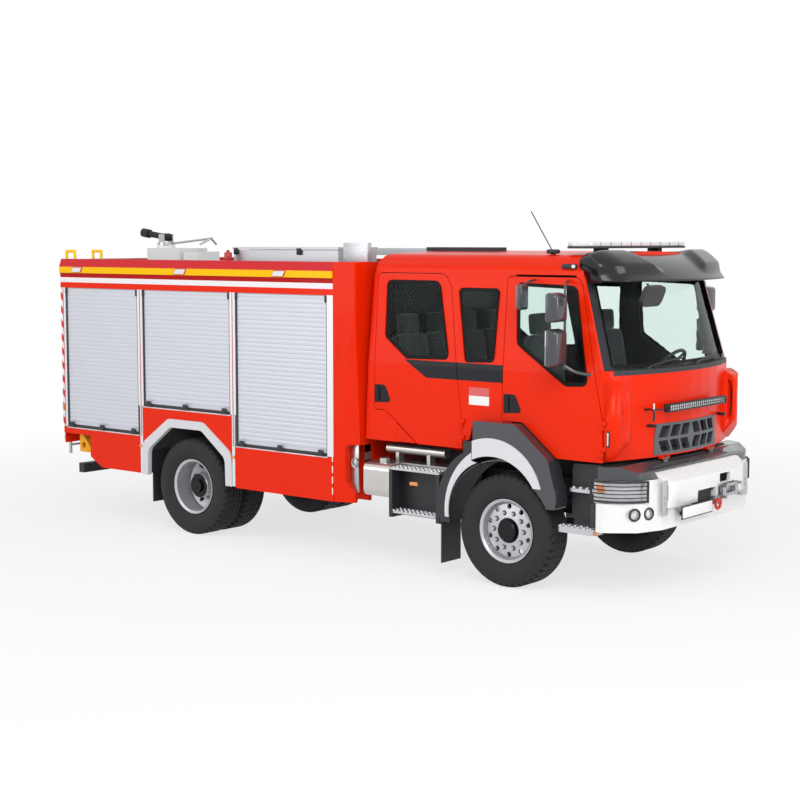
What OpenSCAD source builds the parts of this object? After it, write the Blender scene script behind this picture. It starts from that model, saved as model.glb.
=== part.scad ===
// Crew cab fire engine with a three-locker equipment body, in millimetres.
// +X points forwards, +Y to the left, +Z up. The ground is z = 0, and lengths along
// X are measured from the rear axle until place() centres the whole vehicle.

/* [Running gear] */
// Distance between the axles
wheelbase = 4170; // [4000:10:4600]
// Outer diameter of every tyre
tyre_d = 1050; // [1000:2:1070]
// Section width of every tyre
tyre_w = 298; // [270:2:310]
// Outer diameter of the wheel rims at the flange
rim_d = 597; // [580:1:610]
// Distance of a front tyre's middle from the vehicle's centre plane
front_track_half = 1050; // [1035:1:1060]
// Distance of an outer rear tyre's middle from the centre plane
rear_track_half = 1065; // [1050:1:1075]
// Distance between the middles of twin tyres
twin_spacing = 336; // [330:1:345]
// Distance of a steering axis from the centre plane
kingpin_half = 875; // [865:1:880]
// Height of the frame rails' top
rail_top = 960; // [940:5:980]
// Depth of a frame rail
rail_h = 260; // [220:5:280]
// Width over the frame rails
rail_span = 860; // [820:5:880]
// Thickness of the frame rails' steel
rail_t = 8; // [6:1:12]

/* [Cab] */
// Width of the cab below its waistline
cab_w = 2240; // [2200:5:2280]
// Height of the cab's lower edge
cab_bottom = 1240; // [1230:2:1250]
// Height of the roof's crown
cab_top = 3090; // [3060:5:3110]
// Lean of each cab side between waistline and roof
tumblehome = 58; // [40:1:70]
// Distance from the front axle back to the cab's rear wall
cab_back_reach = 1745; // [1735:5:1760]
// Distance from the front axle to the middle of the front panel
cab_front_reach = 1245; // [1235:5:1255]
// Thickness of doors and cab walls
wall_t = 45; // [38:1:50]
// Thickness of the window glass
glass_t = 6; // [5:1:8]
// Gap round each door
door_gap = 7; // [6:1:10]
// Rake of the windscreen from upright, in degrees
screen_rake = 17; // [16:0.5:18]

/* [Equipment body] */
// Width over the locker shutters
body_w = 2500; // [2460:10:2550]
// Distance from the rear axle back to the rear wall
rear_overhang = 2120; // [2050:10:2200]
// Gap between the body's front corners and the cab
cab_gap = 60; // [50:5:90]
// Height of the roof fascia's top
body_top = 2980; // [2940:5:3000]
// Height of the roof fascia over the shutters
fascia_h = 330; // [300:5:360]
// Height of the outer lockers' sills
sill = 1040; // [1020:5:1060]
// Height of the sill over the rear wheels
arch_sill = 1365; // [1350:5:1385]
// Height of the skirts' lower edge
skirt_bottom = 600; // [580:5:640]
// Height of one shutter slat
slat_h = 46; // [40:1:60]
// Width of the posts between lockers
post_w = 84; // [76:2:96]

/* [Front end] */
// Distance of the bumper's front ahead of the cab's front panel
bumper_lead = 155; // [145:5:175]
// Height of the bumper's lower edge
bumper_bottom = 640; // [620:5:660]
// Height of the bumper's corners
bumper_h = 255; // [240:5:270]
// Reach of the winch fairlead in front of the bumper
fairlead_reach = 150; // [130:5:170]

/* [Roof equipment] */
// Height of the roof locker above the deck
locker_h = 180; // [150:5:220]
// Length of the light bar
light_bar_l = 1960; // [1500:20:2000]
// Height of the water cannon's swivel above the deck
cannon_h = 190; // [180:5:240]
// Length of the radio antenna
antenna_l = 450; // [300:10:480]

/* [Hidden] */
$fn = 48;
x_fa = wheelbase;
tyre_r = tyre_d / 2;
rim_r = rim_d / 2;
rim_w = 229;
body_half = body_w / 2;
cab_half = cab_w / 2;
cab_rear = x_fa - cab_back_reach;
cab_nose = x_fa + cab_front_reach;
waist = 2000;
deck_z = body_top - 40;
shutter_top = body_top - fascia_h;
body_front = cab_rear - cab_gap + 35;
ladder_standoff = 60;
x_rear = -rear_overhang - ladder_standoff;
bump_x = cab_nose + bumper_lead;
bump_back = bump_x - 415;
rail_front = bump_back + 25;
x_front = bump_x + fairlead_reach;
run_gap = 0.3;

RIGHT = -1;
LEFT = 1;

// Outline helpers
function unit(v) = v / norm(v);
function flat(p) = [p.x, p.y];
function cross2(a, b) = a.x * b.y - a.y * b.x;
function area2(path) =
    let (n = len(path))
    sum([for (i = [0:n - 1]) cross2(flat(path[i]), flat(path[(i + 1) % n]))]);
function sum(list, i = 0) = i >= len(list) ? 0 : list[i] + sum(list, i + 1);
function left_normal(a, b) = let (d = unit(flat(b) - flat(a))) [-d.y, d.x];

// Points along a circular arc, from angle a0 to angle a1
function arc(c, r, a0, a1, steps = 6) =
    [for (k = [0:steps]) let (a = a0 + (a1 - a0) * k / steps) c + r * [cos(a), sin(a)]];

// Rounds each corner of a closed path of [x, y, radius]
function fillet(path, steps = 4) = [
    for (i = [0:len(path) - 1])
        let (
            n = len(path), p = flat(path[i]), r = path[i][2],
            u = unit(flat(path[(i + n - 1) % n]) - p),
            v = unit(flat(path[(i + 1) % n]) - p)
        )
        each r <= 0 ? [p] : let (
            half = acos(min(1, max(-1, u * v))) / 2,
            c = p + unit(u + v) * r / sin(half),
            s = p + u * r / tan(half) - c,
            e = p + v * r / tan(half) - c,
            a0 = atan2(s.y, s.x),
            raw = atan2(e.y, e.x) - a0,
            turn = raw > 180 ? raw - 360 : raw < -180 ? raw + 360 : raw
        ) arc(c, r, a0, a0 + turn, steps)
];

// Moves every edge of a closed path of [x, y, radius] inwards by t
function inset(path, t) =
    let (n = len(path), s = sign(area2(path)))
    [
        for (i = [0:n - 1])
            let (
                a = path[(i + n - 1) % n], p = path[i], b = path[(i + 1) % n],
                n1 = left_normal(a, p) * s, n2 = left_normal(p, b) * s,
                convex = cross2(flat(p) - flat(a), flat(b) - flat(p)) * s > 0,
                q = flat(p) + t * (n1 + n2) / (1 + n1 * n2)
            )
            [q.x, q.y, p[2] <= 0 ? 0 : max(1, convex ? p[2] - t : p[2] + t)]
    ];

function shift(path, d) = [for (p = path) len(p) > 2 ? [p.x + d.x, p.y + d.y, p[2]] : p + d];
function rect(x0, y0, x1, y1, r = 0) = [[x0, y0, r], [x1, y0, r], [x1, y1, r], [x0, y1, r]];

// Prisms along each axis. The outline of prism_x is in (y, z), that of prism_y in (x, z).
module prism_x(points, x0, x1) {
    translate([x0, 0, 0]) rotate([90, 0, 90]) linear_extrude(x1 - x0) polygon(points);
}
module prism_y(points, ya, yb) {
    translate([0, max(ya, yb), 0]) rotate([90, 0, 0]) linear_extrude(abs(yb - ya)) polygon(points);
}
module prism_z(points, z0, z1) {
    translate([0, 0, z0]) linear_extrude(z1 - z0) polygon(points);
}
module block(a, b) {
    translate([min(a.x, b.x), min(a.y, b.y), min(a.z, b.z)])
        cube([abs(b.x - a.x), abs(b.y - a.y), abs(b.z - a.z)]);
}
module rod_x(x0, x1, y, z, r) { translate([x0, y, z]) rotate([0, 90, 0]) cylinder(r = r, h = x1 - x0); }
module rod_y(x, y0, y1, z, r) { translate([x, y1, z]) rotate([90, 0, 0]) cylinder(r = r, h = y1 - y0); }
module rod_z(x, y, z0, z1, r) { translate([x, y, z0]) cylinder(r = r, h = z1 - z0); }
// A round bar between two points
module bar(a, b, r) {
    d = b - a;
    translate(a) rotate([0, acos(d.z / norm(d)), atan2(d.y, d.x)]) cylinder(r = r, h = norm(d));
}
module both_sides() {
    children();
    mirror([0, 1, 0]) children();
}
module place() { translate([-(x_rear + x_front) / 2, 0, 0]) children(); }

// Wheels. An axial outline is in (radius, distance outwards from the wheel's middle).
bead_r = rim_r - 11;
bore_r = 46;
spindle_r = bore_r - run_gap;
stud_r = 167.5;
module spin(points) { rotate_extrude() polygon(points); }
// Turns a wheel's own axis onto Y with its outer side facing outwards
module stand(side) { rotate([side * -90, 0, 0]) children(); }

module tyre_ring() {
    w = tyre_w / 2;
    groove = 7;
    depth = 13;
    half = [
        [bead_r, -101], [rim_r + 4, -107], [rim_r + 38, -133], [rim_r + 112, -w],
        [tyre_r - 62, -w + 5], [tyre_r - 22, -w + 18], [tyre_r - 4, -w + 38]
    ];
    lands = [for (a = [-84, -28, 28, 84]) each [
        [tyre_r, a - groove], [tyre_r - depth, a - groove + 3],
        [tyre_r - depth, a + groove - 3], [tyre_r, a + groove]
    ]];
    other = [for (i = [len(half) - 1:-1:0]) [half[i].x, -half[i].y]];
    spin(concat(half, lands, other));
}
module rim_barrel() {
    seat = bead_r - run_gap;
    inner = bead_r - 16;
    edge = rim_w / 2 + 6;
    spin([
        [rim_r - 7, edge], [rim_r, edge], [rim_r, edge - 8], [seat, 103], [seat, -103],
        [rim_r, 8 - edge], [rim_r, -edge], [rim_r - 7, -edge], [inner, -106], [inner, 106]
    ]);
}
module disc_holes(a) {
    for (k = [0:9]) rotate([0, 0, 36 * k + 18]) translate([226, 0, a - 90]) cylinder(r = 25, h = 180);
}
module wheel_nuts(a) {
    for (k = [0:9]) rotate([0, 0, 36 * k]) translate([stud_r, 0, a]) {
        cylinder(r = 17, h = 22, $fn = 6);
        cylinder(r = 10, h = 34);
    }
}
module rim_front(side) {
    inner = bead_r - 16;
    color("silver") stand(side) {
        difference() {
            union() {
                rim_barrel();
                spin([
                    [bore_r, -62], [130, -62], [130, 58], [238, 44], [inner - 1, 20],
                    [inner + 4, 20], [inner + 4, 44], [246, 64], [122, 80], [98, 80], [98, 112],
                    [88, 120], [0, 120], [0, 98], [bore_r, 98]
                ]);
            }
            disc_holes(50);
        }
        wheel_nuts(70);
    }
}
module rim_rear(side) {
    inner = bead_r - 16;
    mate = twin_spacing / 2;
    color("silver") stand(side) {
        difference() {
            union() {
                rim_barrel();
                translate([0, 0, -twin_spacing]) rim_barrel();
                spin([
                    [bore_r, -mate - 240], [120, -mate - 240], [120, -mate - 12], [205, -mate - 18],
                    [inner - 1, -mate - 70], [inner + 4, -mate - 70], [inner + 4, -mate - 52],
                    [215, -mate], [inner + 4, -mate + 52], [inner + 4, -mate + 70],
                    [inner - 1, -mate + 70], [205, -mate + 18], [132, -mate + 14], [132, 28],
                    [118, 44], [70, 44], [70, 70], [0, 70], [0, 40], [bore_r, 40]
                ]);
            }
            disc_holes(-mate);
        }
        wheel_nuts(-mate + 16);
    }
}
module at_front_wheel(side) { translate([x_fa, side * front_track_half, tyre_r]) children(); }
module at_rear_wheel(side) { translate([0, side * rear_track_half, tyre_r]) children(); }
module tyre_front(side) { color("black") at_front_wheel(side) stand(side) tyre_ring(); }
module tyres_rear(side) {
    color("black") at_rear_wheel(side) stand(side) {
        tyre_ring();
        translate([0, 0, -twin_spacing]) tyre_ring();
    }
}
module rim_front_right() { at_front_wheel(RIGHT) rim_front(RIGHT); }
module rim_front_left() { at_front_wheel(LEFT) rim_front(LEFT); }
module rim_rear_right() { at_rear_wheel(RIGHT) rim_rear(RIGHT); }
module rim_rear_left() { at_rear_wheel(LEFT) rim_rear(LEFT); }
module tyre_front_right() { tyre_front(RIGHT); }
module tyre_front_left() { tyre_front(LEFT); }
module tyres_rear_right() { tyres_rear(RIGHT); }
module tyres_rear_left() { tyres_rear(LEFT); }

// Steering
pin_r = 24;
boss_r = 55;
boss_h = 160;
lug_h = 56;
fork_gap = 6;
fork_top = tyre_r + boss_h / 2 + fork_gap + lug_h;
fork_low = tyre_r - boss_h / 2 - fork_gap - lug_h;
web_in = kingpin_half + boss_r + fork_gap;
web_out = web_in + 40;
module knuckle(side) {
    color("dimgray") difference() {
        union() {
            for (z = [fork_low, fork_top - lug_h])
                translate([x_fa, side * kingpin_half, z]) {
                    cylinder(r = boss_r, h = lug_h);
                    block([-boss_r, 0, 0], [boss_r, side * (web_in - kingpin_half + 1), lug_h]);
                }
            block([x_fa - boss_r, side * web_in, fork_low], [x_fa + boss_r, side * web_out, fork_top]);
            rod_y(x_fa, min(side * (web_out - 1), side * (front_track_half + 92)),
                max(side * (web_out - 1), side * (front_track_half + 92)), tyre_r, spindle_r);
            bar([x_fa - 40, side * (web_in + 20), fork_low + 30],
                [x_fa - 290, side * (kingpin_half - 60), fork_low + 30], 22);
            translate([x_fa - 290, side * (kingpin_half - 60), fork_low + 4]) cylinder(r = 34, h = 52);
        }
        rod_z(x_fa, side * kingpin_half, fork_low - 5, fork_top + 5, pin_r + run_gap);
    }
}
module knuckle_right() { knuckle(RIGHT); }
module knuckle_left() { knuckle(LEFT); }

// Chassis
rail_y = rail_span / 2;
spring_y = rail_y - 38;
rail_bottom = rail_top - rail_h;
flange = 75;
module leaf_spring(x, z_mid, z_end) {
    half = 740;
    pack = 74;
    leaf = 16;
    prism_y([
        [x - half, z_end], [x - 420, z_mid + 22 + (z_end - z_mid) * 0.28], [x - 110, z_mid],
        [x + 110, z_mid], [x + 420, z_mid + 22 + (z_end - z_mid) * 0.28], [x + half, z_end],
        [x + half, z_end + leaf], [x + 110, z_mid + pack], [x - 110, z_mid + pack],
        [x - half, z_end + leaf]
    ], spring_y - 38, spring_y + 38);
    for (e = [-half + 30, half - 30])
        block([x + e - 30, spring_y - 34, z_end + 4], [x + e + 30, spring_y + 34, rail_bottom]);
}
module front_axle() {
    seat = tyre_r - 50;
    color("dimgray") {
        difference() {
            union() {
                prism_x(fillet([
                    [-kingpin_half, tyre_r - 45, 0], [-700, tyre_r - 45, 60], [-600, seat - 95, 60],
                    [600, seat - 95, 60], [700, tyre_r - 45, 60], [kingpin_half, tyre_r - 45, 0],
                    [kingpin_half, tyre_r + 45, 0], [680, tyre_r + 45, 60], [570, seat, 60],
                    [-570, seat, 60], [-680, tyre_r + 45, 60], [-kingpin_half, tyre_r + 45, 0]
                ]), x_fa - 50, x_fa + 50);
                both_sides() rod_z(x_fa, kingpin_half, tyre_r - boss_h / 2, tyre_r + boss_h / 2, boss_r);
                both_sides() rod_z(x_fa, kingpin_half, fork_low, fork_top, pin_r);
                both_sides() leaf_spring(x_fa, seat - 1, rail_bottom - 70);
            }
            for (x = [-50, 50]) prism_x([
                [-560, seat - 80], [560, seat - 80], [560, seat - 16], [-560, seat - 16]
            ], x_fa + x - 32, x_fa + x + 32);
        }
    }
}
module rear_axle() {
    hub_in = rear_track_half - twin_spacing / 2 - 240 - 6;
    color("dimgray") {
        rod_y(0, -hub_in, hub_in, tyre_r, 80);
        rod_y(0, -rear_track_half - 32, rear_track_half + 32, tyre_r, spindle_r);
        rod_x(-190, 210, 0, tyre_r, 205);
        rod_x(205, 330, 0, tyre_r, 90);
        bar([325, 0, tyre_r], [x_fa - 1160, 0, tyre_r + 190], 55);
        both_sides() leaf_spring(0, tyre_r + 76, rail_bottom - 75);
    }
}
module frame_rails() {
    x0 = -rear_overhang + 90;
    x1 = rail_front;
    web = rail_y - rail_t;
    color("dimgray") {
        both_sides() prism_x([
            [rail_y, rail_bottom], [rail_y, rail_top], [rail_y - flange, rail_top],
            [rail_y - flange, rail_top - rail_t], [web, rail_top - rail_t],
            [web, rail_bottom + rail_t], [rail_y - flange, rail_bottom + rail_t],
            [rail_y - flange, rail_bottom]
        ], x0, x1);
        for (x = [x0 + 60, -830, 830, 1900, x_fa - 1330])
            rod_y(x, -web - 1, web + 1, rail_top - 95, 62);
        block([x1 - 70, -web - 1, rail_bottom + 30], [x1, web + 1, rail_top - 30]);
        both_sides() for (x = [cab_rear + 140, x_fa + 880])
            block([x, -rail_y, rail_top - 60], [x + 110, -rail_y + flange, cab_bottom + 5 - run_gap]);
        difference() {
            union() {
                block([x0 - 30, -1080, 480], [x0 + 60, 1080, 590]);
                both_sides() block([x0, rail_y - 60, 560], [x0 + 50, rail_y - 10, rail_bottom + 2]);
                block([x0 - 10, -web - 1, rail_bottom + 20], [x0 + 10, web + 1, rail_top - 20]);
                block([x0 - 110, -70, rail_bottom + 60], [x0, 70, rail_bottom + 120]);
            }
            rod_z(x0 - 60, 0, rail_bottom + 20, rail_bottom + 160, 20);
        }
    }
}
module engine() {
    color("gray") {
        block([x_fa - 320, -330, tyre_r + 70], [x_fa + 820, 330, cab_bottom - 30]);
        block([x_fa - 1150, -210, tyre_r + 60], [x_fa - 319, 210, rail_top + 20]);
        for (x = [x_fa - 150, x_fa + 620])
            block([x, rail_t - rail_y, rail_bottom + 60], [x + 110, rail_y - rail_t, rail_bottom + 160]);
    }
}
step_back = body_half - 250;
step_x0 = x_fa - 1370;
step_x1 = step_x0 + 620;
tank_x0 = cab_rear + 40;
tank_x1 = step_x1 - 25;
module tanks() {
    low = 685;
    top = 1020;
    outer = body_half - 50;
    color("silver") both_sides() {
        difference() {
            prism_x(fillet([
                [-outer, low, 70], [-rail_y - 60, low, 40], [-rail_y - 60, top, 40], [-outer, top, 70]
            ]), tank_x0, tank_x1);
            block([step_x0 - 1, -outer - 10, low - 10], [tank_x1 + 10, -step_back, top + 10]);
        }
        rod_z(tank_x0 + 180, -outer + 110, top - 1, top + 45, 52);
        for (x = [tank_x0 + 120, tank_x1 - 120])
            block([x, -rail_y - 61, low + 80], [x + 60, -rail_y, low + 180]);
    }
    color("silver") both_sides() {
        rod_x(tank_x0 + 130, tank_x1 - 70, -cab_half + 160, 1150, 48);
        for (x = [tank_x0 + 250, tank_x1 - 290])
            block([x, -cab_half + 118, top - 1], [x + 40, -cab_half + 202, 1120]);
    }
}
tread_low = 537;
tread_high = 960;
foot_x0 = x_fa + 570;
foot_x1 = foot_x0 + 400;
module step_boxes() {
    outer = body_half - 35;
    color("black") both_sides() {
        for (x = [step_x0, step_x1 - 40])
            block([x, -outer + 5, tread_low - 25], [x + 40, -step_back, tread_high + 20]);
        block([step_x0, -step_back - 35, tread_low - 25], [step_x1, -step_back, tread_high + 20]);
        prism_y(fillet([
            [foot_x0 + 70, 700, 40], [foot_x1 - 20, 660, 20], [foot_x1 - 20, cab_bottom - 30, 20],
            [foot_x0 + 70, cab_bottom - 40, 40]
        ]), -cab_half + 80, -cab_half + 180);
        block([foot_x0 + 90, -cab_half + 80, bumper_bottom - 40], [foot_x1 - 30, -cab_half + 140, 700]);
        for (x = [foot_x0 + 250])
            block([x, -cab_half + 179, rail_bottom + 60], [x + 70, -rail_y, rail_bottom + 160]);
    }
}
module step_treads() {
    outer = body_half - 35;
    color("silver") both_sides() {
        for (t = [[tread_low, 40], [tread_high, 0]]) prism_z(fillet([
            [step_x0 + t[1], -outer, 25], [step_x1 - t[1], -outer, 25],
            [step_x1 - t[1], -step_back - 35, 0], [step_x0 + t[1], -step_back - 35, 0]
        ]), t[0] + 20, t[0] + 42);
        prism_z(fillet([
            [foot_x0, -cab_half - 75, 50], [foot_x1, -cab_half - 75, 50],
            [foot_x1, -cab_half + 80, 10], [foot_x0, -cab_half + 80, 10]
        ]), bumper_bottom - 45, bumper_bottom + 10);
        prism_z(fillet([
            [foot_x0 + 80, -cab_half - 10, 40], [foot_x1 - 30, -cab_half - 10, 40],
            [foot_x1 - 30, -cab_half + 80, 10], [foot_x0 + 80, -cab_half + 80, 10]
        ]), 960, 990);
    }
}

// Front end
bump_half = body_half - 40;
bump_top = bumper_bottom + bumper_h;
function bumper_plan(back = bump_back) = concat(
    [[back, -bump_half, 20], [bump_x - 330, -bump_half, 180], [bump_x - 90, -bump_half + 190, 140]],
    [[bump_x, -740, 120], [bump_x, 740, 120]],
    [[bump_x - 90, bump_half - 190, 140], [bump_x - 330, bump_half, 180], [back, bump_half, 20]]
);
lamp_low = bump_top + 35;
lamp_top = lamp_low + 165;
lamp_in = 945;
fog_y = [1040, 900];
fog_z = bumper_bottom + 160;
fog_r = 46;
tilt_x = cab_nose - 15;
tilt_pin_z = cab_bottom - 5;
tilt_pin_r = 6;
tilt_eyes = [-450, 390];
tilt_eye_w = 60;
module bumper_shell(t, z0, z1) {
    difference() {
        prism_z(fillet(bumper_plan()), z0, z1);
        prism_z(fillet(inset(bumper_plan(bump_back - 300), t)), z0 - 1, z1 + 1);
    }
}
module fog_bores(less) {
    for (y = fog_y) translate([bump_x - 320, -y, fog_z]) rotate([0, 90, 0]) cylinder(r = fog_r - less,
        h = 400);
}
winch_half = 760;
winch_top = 1150;
winch_y = 295;
fair_low = bump_top - 69;
fair_top = fair_low + 128;
// Side view of the winch cover: upright face, then a slope up to the cab
function cover_profile() = [
    [bump_x - 300, bump_top - 60, 0], [bump_x + 60, bump_top - 60, 0], [bump_x + 60, winch_top - 95, 40],
    [bump_x - 80, winch_top, 60], [bump_x - 300, winch_top, 0]
];
module bumper() {
    deep = 70;
    color("white") difference() {
        union() {
            bumper_shell(deep, bumper_bottom, bump_top);
            intersection() {
                bumper_shell(deep, bump_top - 5, lamp_top);
                block([bump_back, -lamp_in, 0], [bump_x + 10, lamp_in, lamp_top + 5]);
            }
            intersection() {
                prism_z(fillet([
                    [bump_x - 260, -winch_half, 0], [bump_x + 10, -winch_half, 60],
                        [bump_x + 60, -winch_half + 150, 40],
                    [bump_x + 60, winch_half - 150, 40], [bump_x + 10, winch_half, 60],
                        [bump_x - 260, winch_half, 0]
                ]), bump_top - 70, winch_top + 10);
                prism_y(fillet(cover_profile()), -winch_half, winch_half);
            }
            both_sides()
                block([rail_front, rail_y - 100, rail_bottom + 40],
                    [bump_x - deep + 2, rail_y - 20, rail_top - 80]);
        }
        difference() {
            prism_y(fillet(inset(cover_profile(), 32)), -winch_half + 40, winch_half - 40);
            block([bump_x - 400, -winch_half, 0], [bump_x + 100, winch_half, bump_top + 5]);
        }
        block([bump_x - 400, -winch_half + 40, bump_top + 5],
            [bump_x - 265, winch_half - 40, winch_top - 32]);
        prism_x(fillet(rect(-231, bump_top - 90, 108, bump_top + 40, 20)), bump_x, bump_x + 80);
        prism_x(fillet(rect(winch_y - 115, fair_top + 6, winch_y + 80, fair_top + 90, 15)), bump_x,
            bump_x + 80);
        both_sides() fog_bores(0);
    }
}
module bumper_cowl() {
    color("dimgray") difference() {
        union() {
            for (y = tilt_eyes) {
                rod_y(tilt_x, y, y + tilt_eye_w, tilt_pin_z, tilt_pin_r + 5);
                block([tilt_x - 8, y, cab_bottom - 90], [tilt_x + 8, y + tilt_eye_w, tilt_pin_z]);
            }
            cowl_shell();
        }
        for (y = tilt_eyes) rod_y(tilt_x, y - 1, y + tilt_eye_w + 1, tilt_pin_z, tilt_pin_r + run_gap);
    }
}
module cowl_shell() {
    difference() {
        intersection() {
            prism_z(fillet(inset(bumper_plan(), 14)), lamp_low - 40, cab_bottom);
            prism_y(fillet([
                [bump_back, lamp_top + 2, 0], [bump_x - 40, lamp_top + 2, 0],
                    [bump_x - 90, cab_bottom - 75, 30],
                [bump_x - 230, cab_bottom - 20, 30], [bump_back, cab_bottom - 20, 0]
            ]), -body_half, body_half);
        }
        block([bump_x - 262, -winch_half - 4, lamp_low - 50], [bump_x + 80, winch_half + 4, winch_top + 0.5]);
        block([bump_back - 85, -winch_half - 100, lamp_low - 50],
            [bump_x - 262, winch_half + 100, cab_bottom - 60]);
    }
}
module lamps() {
    color("white") both_sides() {
        intersection() {
            prism_z(fillet(inset(bumper_plan(bump_back - 90), 30)), bump_top, lamp_top + 2);
            block([bump_back - 30, -body_half, bump_top], [bump_x, -lamp_in - 10, lamp_top + 3]);
        }
        intersection() {
            fog_bores(run_gap);
            prism_z(fillet(inset(bumper_plan(), 12)), bumper_bottom + 40, bump_top);
        }
        for (x = [-1800, -75, 1390]) prism_y([
            [x - 90, stripe_low + 12], [x + 60, stripe_low + 12], [x + 90, stripe_top - 8],
                [x - 60, stripe_top - 8]
        ], -body_half - fascia_bulge, -body_half - fascia_bulge - 12);
        for (z = [900, 1250, 1350, 1450])
            translate([-rear_overhang, -body_half + 62, z]) rotate([0, -90, 0]) cylinder(r = 38, h = 26);
    }
}
module winch() {
    z = bump_top + 95;
    mid = (fair_low + fair_top) / 2;
    color("dimgray") {
        rod_y(bump_x - 120, -330, 330, z, 46);
        for (y = [-420, 330]) block([bump_x - 215, y, bump_top + 5], [bump_x - 60, y + 90, z + 60]);
        difference() {
            prism_x(fillet(rect(winch_y - 160, fair_low, winch_y + 160, fair_top, 20)), bump_x + 60,
                bump_x + 74);
            prism_x(fillet(rect(winch_y - 90, mid - 28, winch_y + 90, mid + 28, 10)), bump_x + 50,
                bump_x + 80);
        }
        for (dy = [-118, 118]) rod_z(bump_x + 104, winch_y + dy, fair_low + 6, fair_top - 6, 24);
        for (dz = [-42, 42]) rod_y(bump_x + 104, winch_y - 100, winch_y + 100, mid + dz, 16);
        for (dy = [-158, 122]) for (dz = [fair_low, fair_top - 26])
            block([bump_x + 73, winch_y + dy, dz], [bump_x + fairlead_reach, winch_y + dy + 36, dz + 26]);
    }
}

// Mudguards and arch trims
guard_in = 655;
guard_t = 14;
seam_a = 113;
module sector(c, r0, r1, a0, a1, ya, yb) {
    prism_y(concat(arc(c, r1, a0, a1, 14), arc(c, r0, a1, a0, 14)), ya, yb);
}
hub_f = [x_fa, tyre_r];
// Front arch circles: white trim on the cab, then white trim and black band on the chassis
trim_out_c = [x_fa - 121, tyre_r + 280];
trim_out_r = tyre_r + 54;
trim_in_c = [x_fa - 109, tyre_r + 140];
trim_in_r = tyre_r + 27;
tail_in_c = [x_fa - 106, tyre_r + 140];
tail_in_r = tyre_r - 16;
tail_out_c = [x_fa + 9, tyre_r + 145];
tail_out_r = tyre_r + 140;
band_c = [x_fa - 199, tyre_r + 208];
band_r = tyre_r + 23;
fender_seam = x_fa - 333;
trim_end = tyre_r + 440;
module disc_y(c, r, y0, y1) { rod_y(c.x, y0, y1, c.y, r); }
// Everything ahead of the chassis guard's upper end
module guard_cut() {
    s = fender_seam - 14;
    prism_y([
        [s, 1700], [s, tyre_r + 630], [s + 120, tyre_r + 605], [s + 250, tyre_r + 470], [s + 350, 0],
        [s + 1600, 0], [s + 1600, 1700]
    ], -body_half - 50, -800);
}
flap_x = x_fa - 728;
arch_mid = -30;
function arch_path(grow) = [
    [arch_mid - 612 - grow, skirt_bottom, 0], [arch_mid - 604 - grow, 890 + grow * 0.75, 110],
    [arch_mid - 246 - grow * 0.3, 1160 + grow, 110], [arch_mid + 246 + grow * 0.3, 1160 + grow, 110],
    [arch_mid + 604 + grow, 890 + grow * 0.75, 110], [arch_mid + 612 + grow, skirt_bottom, 0]
];
trim_w = 92;
module mudguards() {
    outer = body_half - 15;
    color("black") both_sides() {
        sector(hub_f, guard_in, guard_in + guard_t, seam_a, 178, -outer, -910);
        difference() {
            disc_y(band_c, band_r, -outer, -outer + 30);
            disc_y(tail_in_c, tail_in_r, -outer - 5, -outer + 35);
            guard_cut();
            block([x_fa - 900, -outer - 5, 0], [x_fa, -outer + 35, tyre_r + 20]);
        }
        block([fender_seam - 115, -outer, tyre_r + 690], [fender_seam - 20, -outer + 24, tyre_r + 810]);
        block([flap_x + 6, -outer + 20, 140], [flap_x + 18, -920, tyre_r + 40]);
        block([flap_x - 4, -outer + 10, tyre_r - 10], [flap_x + 7, -900, tyre_r + 110]);
        block([flap_x - 5, -901, tyre_r + 60], [flap_x + 90, -rail_y, tyre_r + 110]);
        block([flap_x - 5, -rail_y - 60, tyre_r + 60], [flap_x + 90, -rail_y, rail_bottom + 120]);
        difference() {
            prism_y(fillet(inset(arch_path(0), -6)), -body_half + 42, -rail_y - 60);
            prism_y(fillet(inset(arch_path(0), 6)), -body_half + 40, -rail_y - 100);
            block([arch_mid - 800, -body_half, skirt_bottom - 20], [arch_mid + 800, 0, skirt_bottom + 20]);
        }
        block([arch_mid - 630, -body_half + 70, 290], [arch_mid - 614, -600, 860]);
    }
}
module arch_trims() {
    color("white") both_sides() {
        difference() {
            prism_y(fillet(arch_path(trim_w)), -body_half - 12, -body_half + 40);
            prism_y(fillet(inset(arch_path(0), 0.001)), -body_half - 20, -body_half + 50);
            block([arch_mid - 900, -body_half - 30, 0], [arch_mid + 900, 0, skirt_bottom + 0.5]);
        }
        difference() {
            disc_y(tail_out_c, tail_out_r, -body_half + 3, -body_half + 15);
            disc_y(tail_in_c, tail_in_r, -body_half, -body_half + 20);
            guard_cut();
            block([x_fa - 900, -body_half, 0], [x_fa, -body_half + 20, tyre_r + 75]);
        }
    }
}

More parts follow.
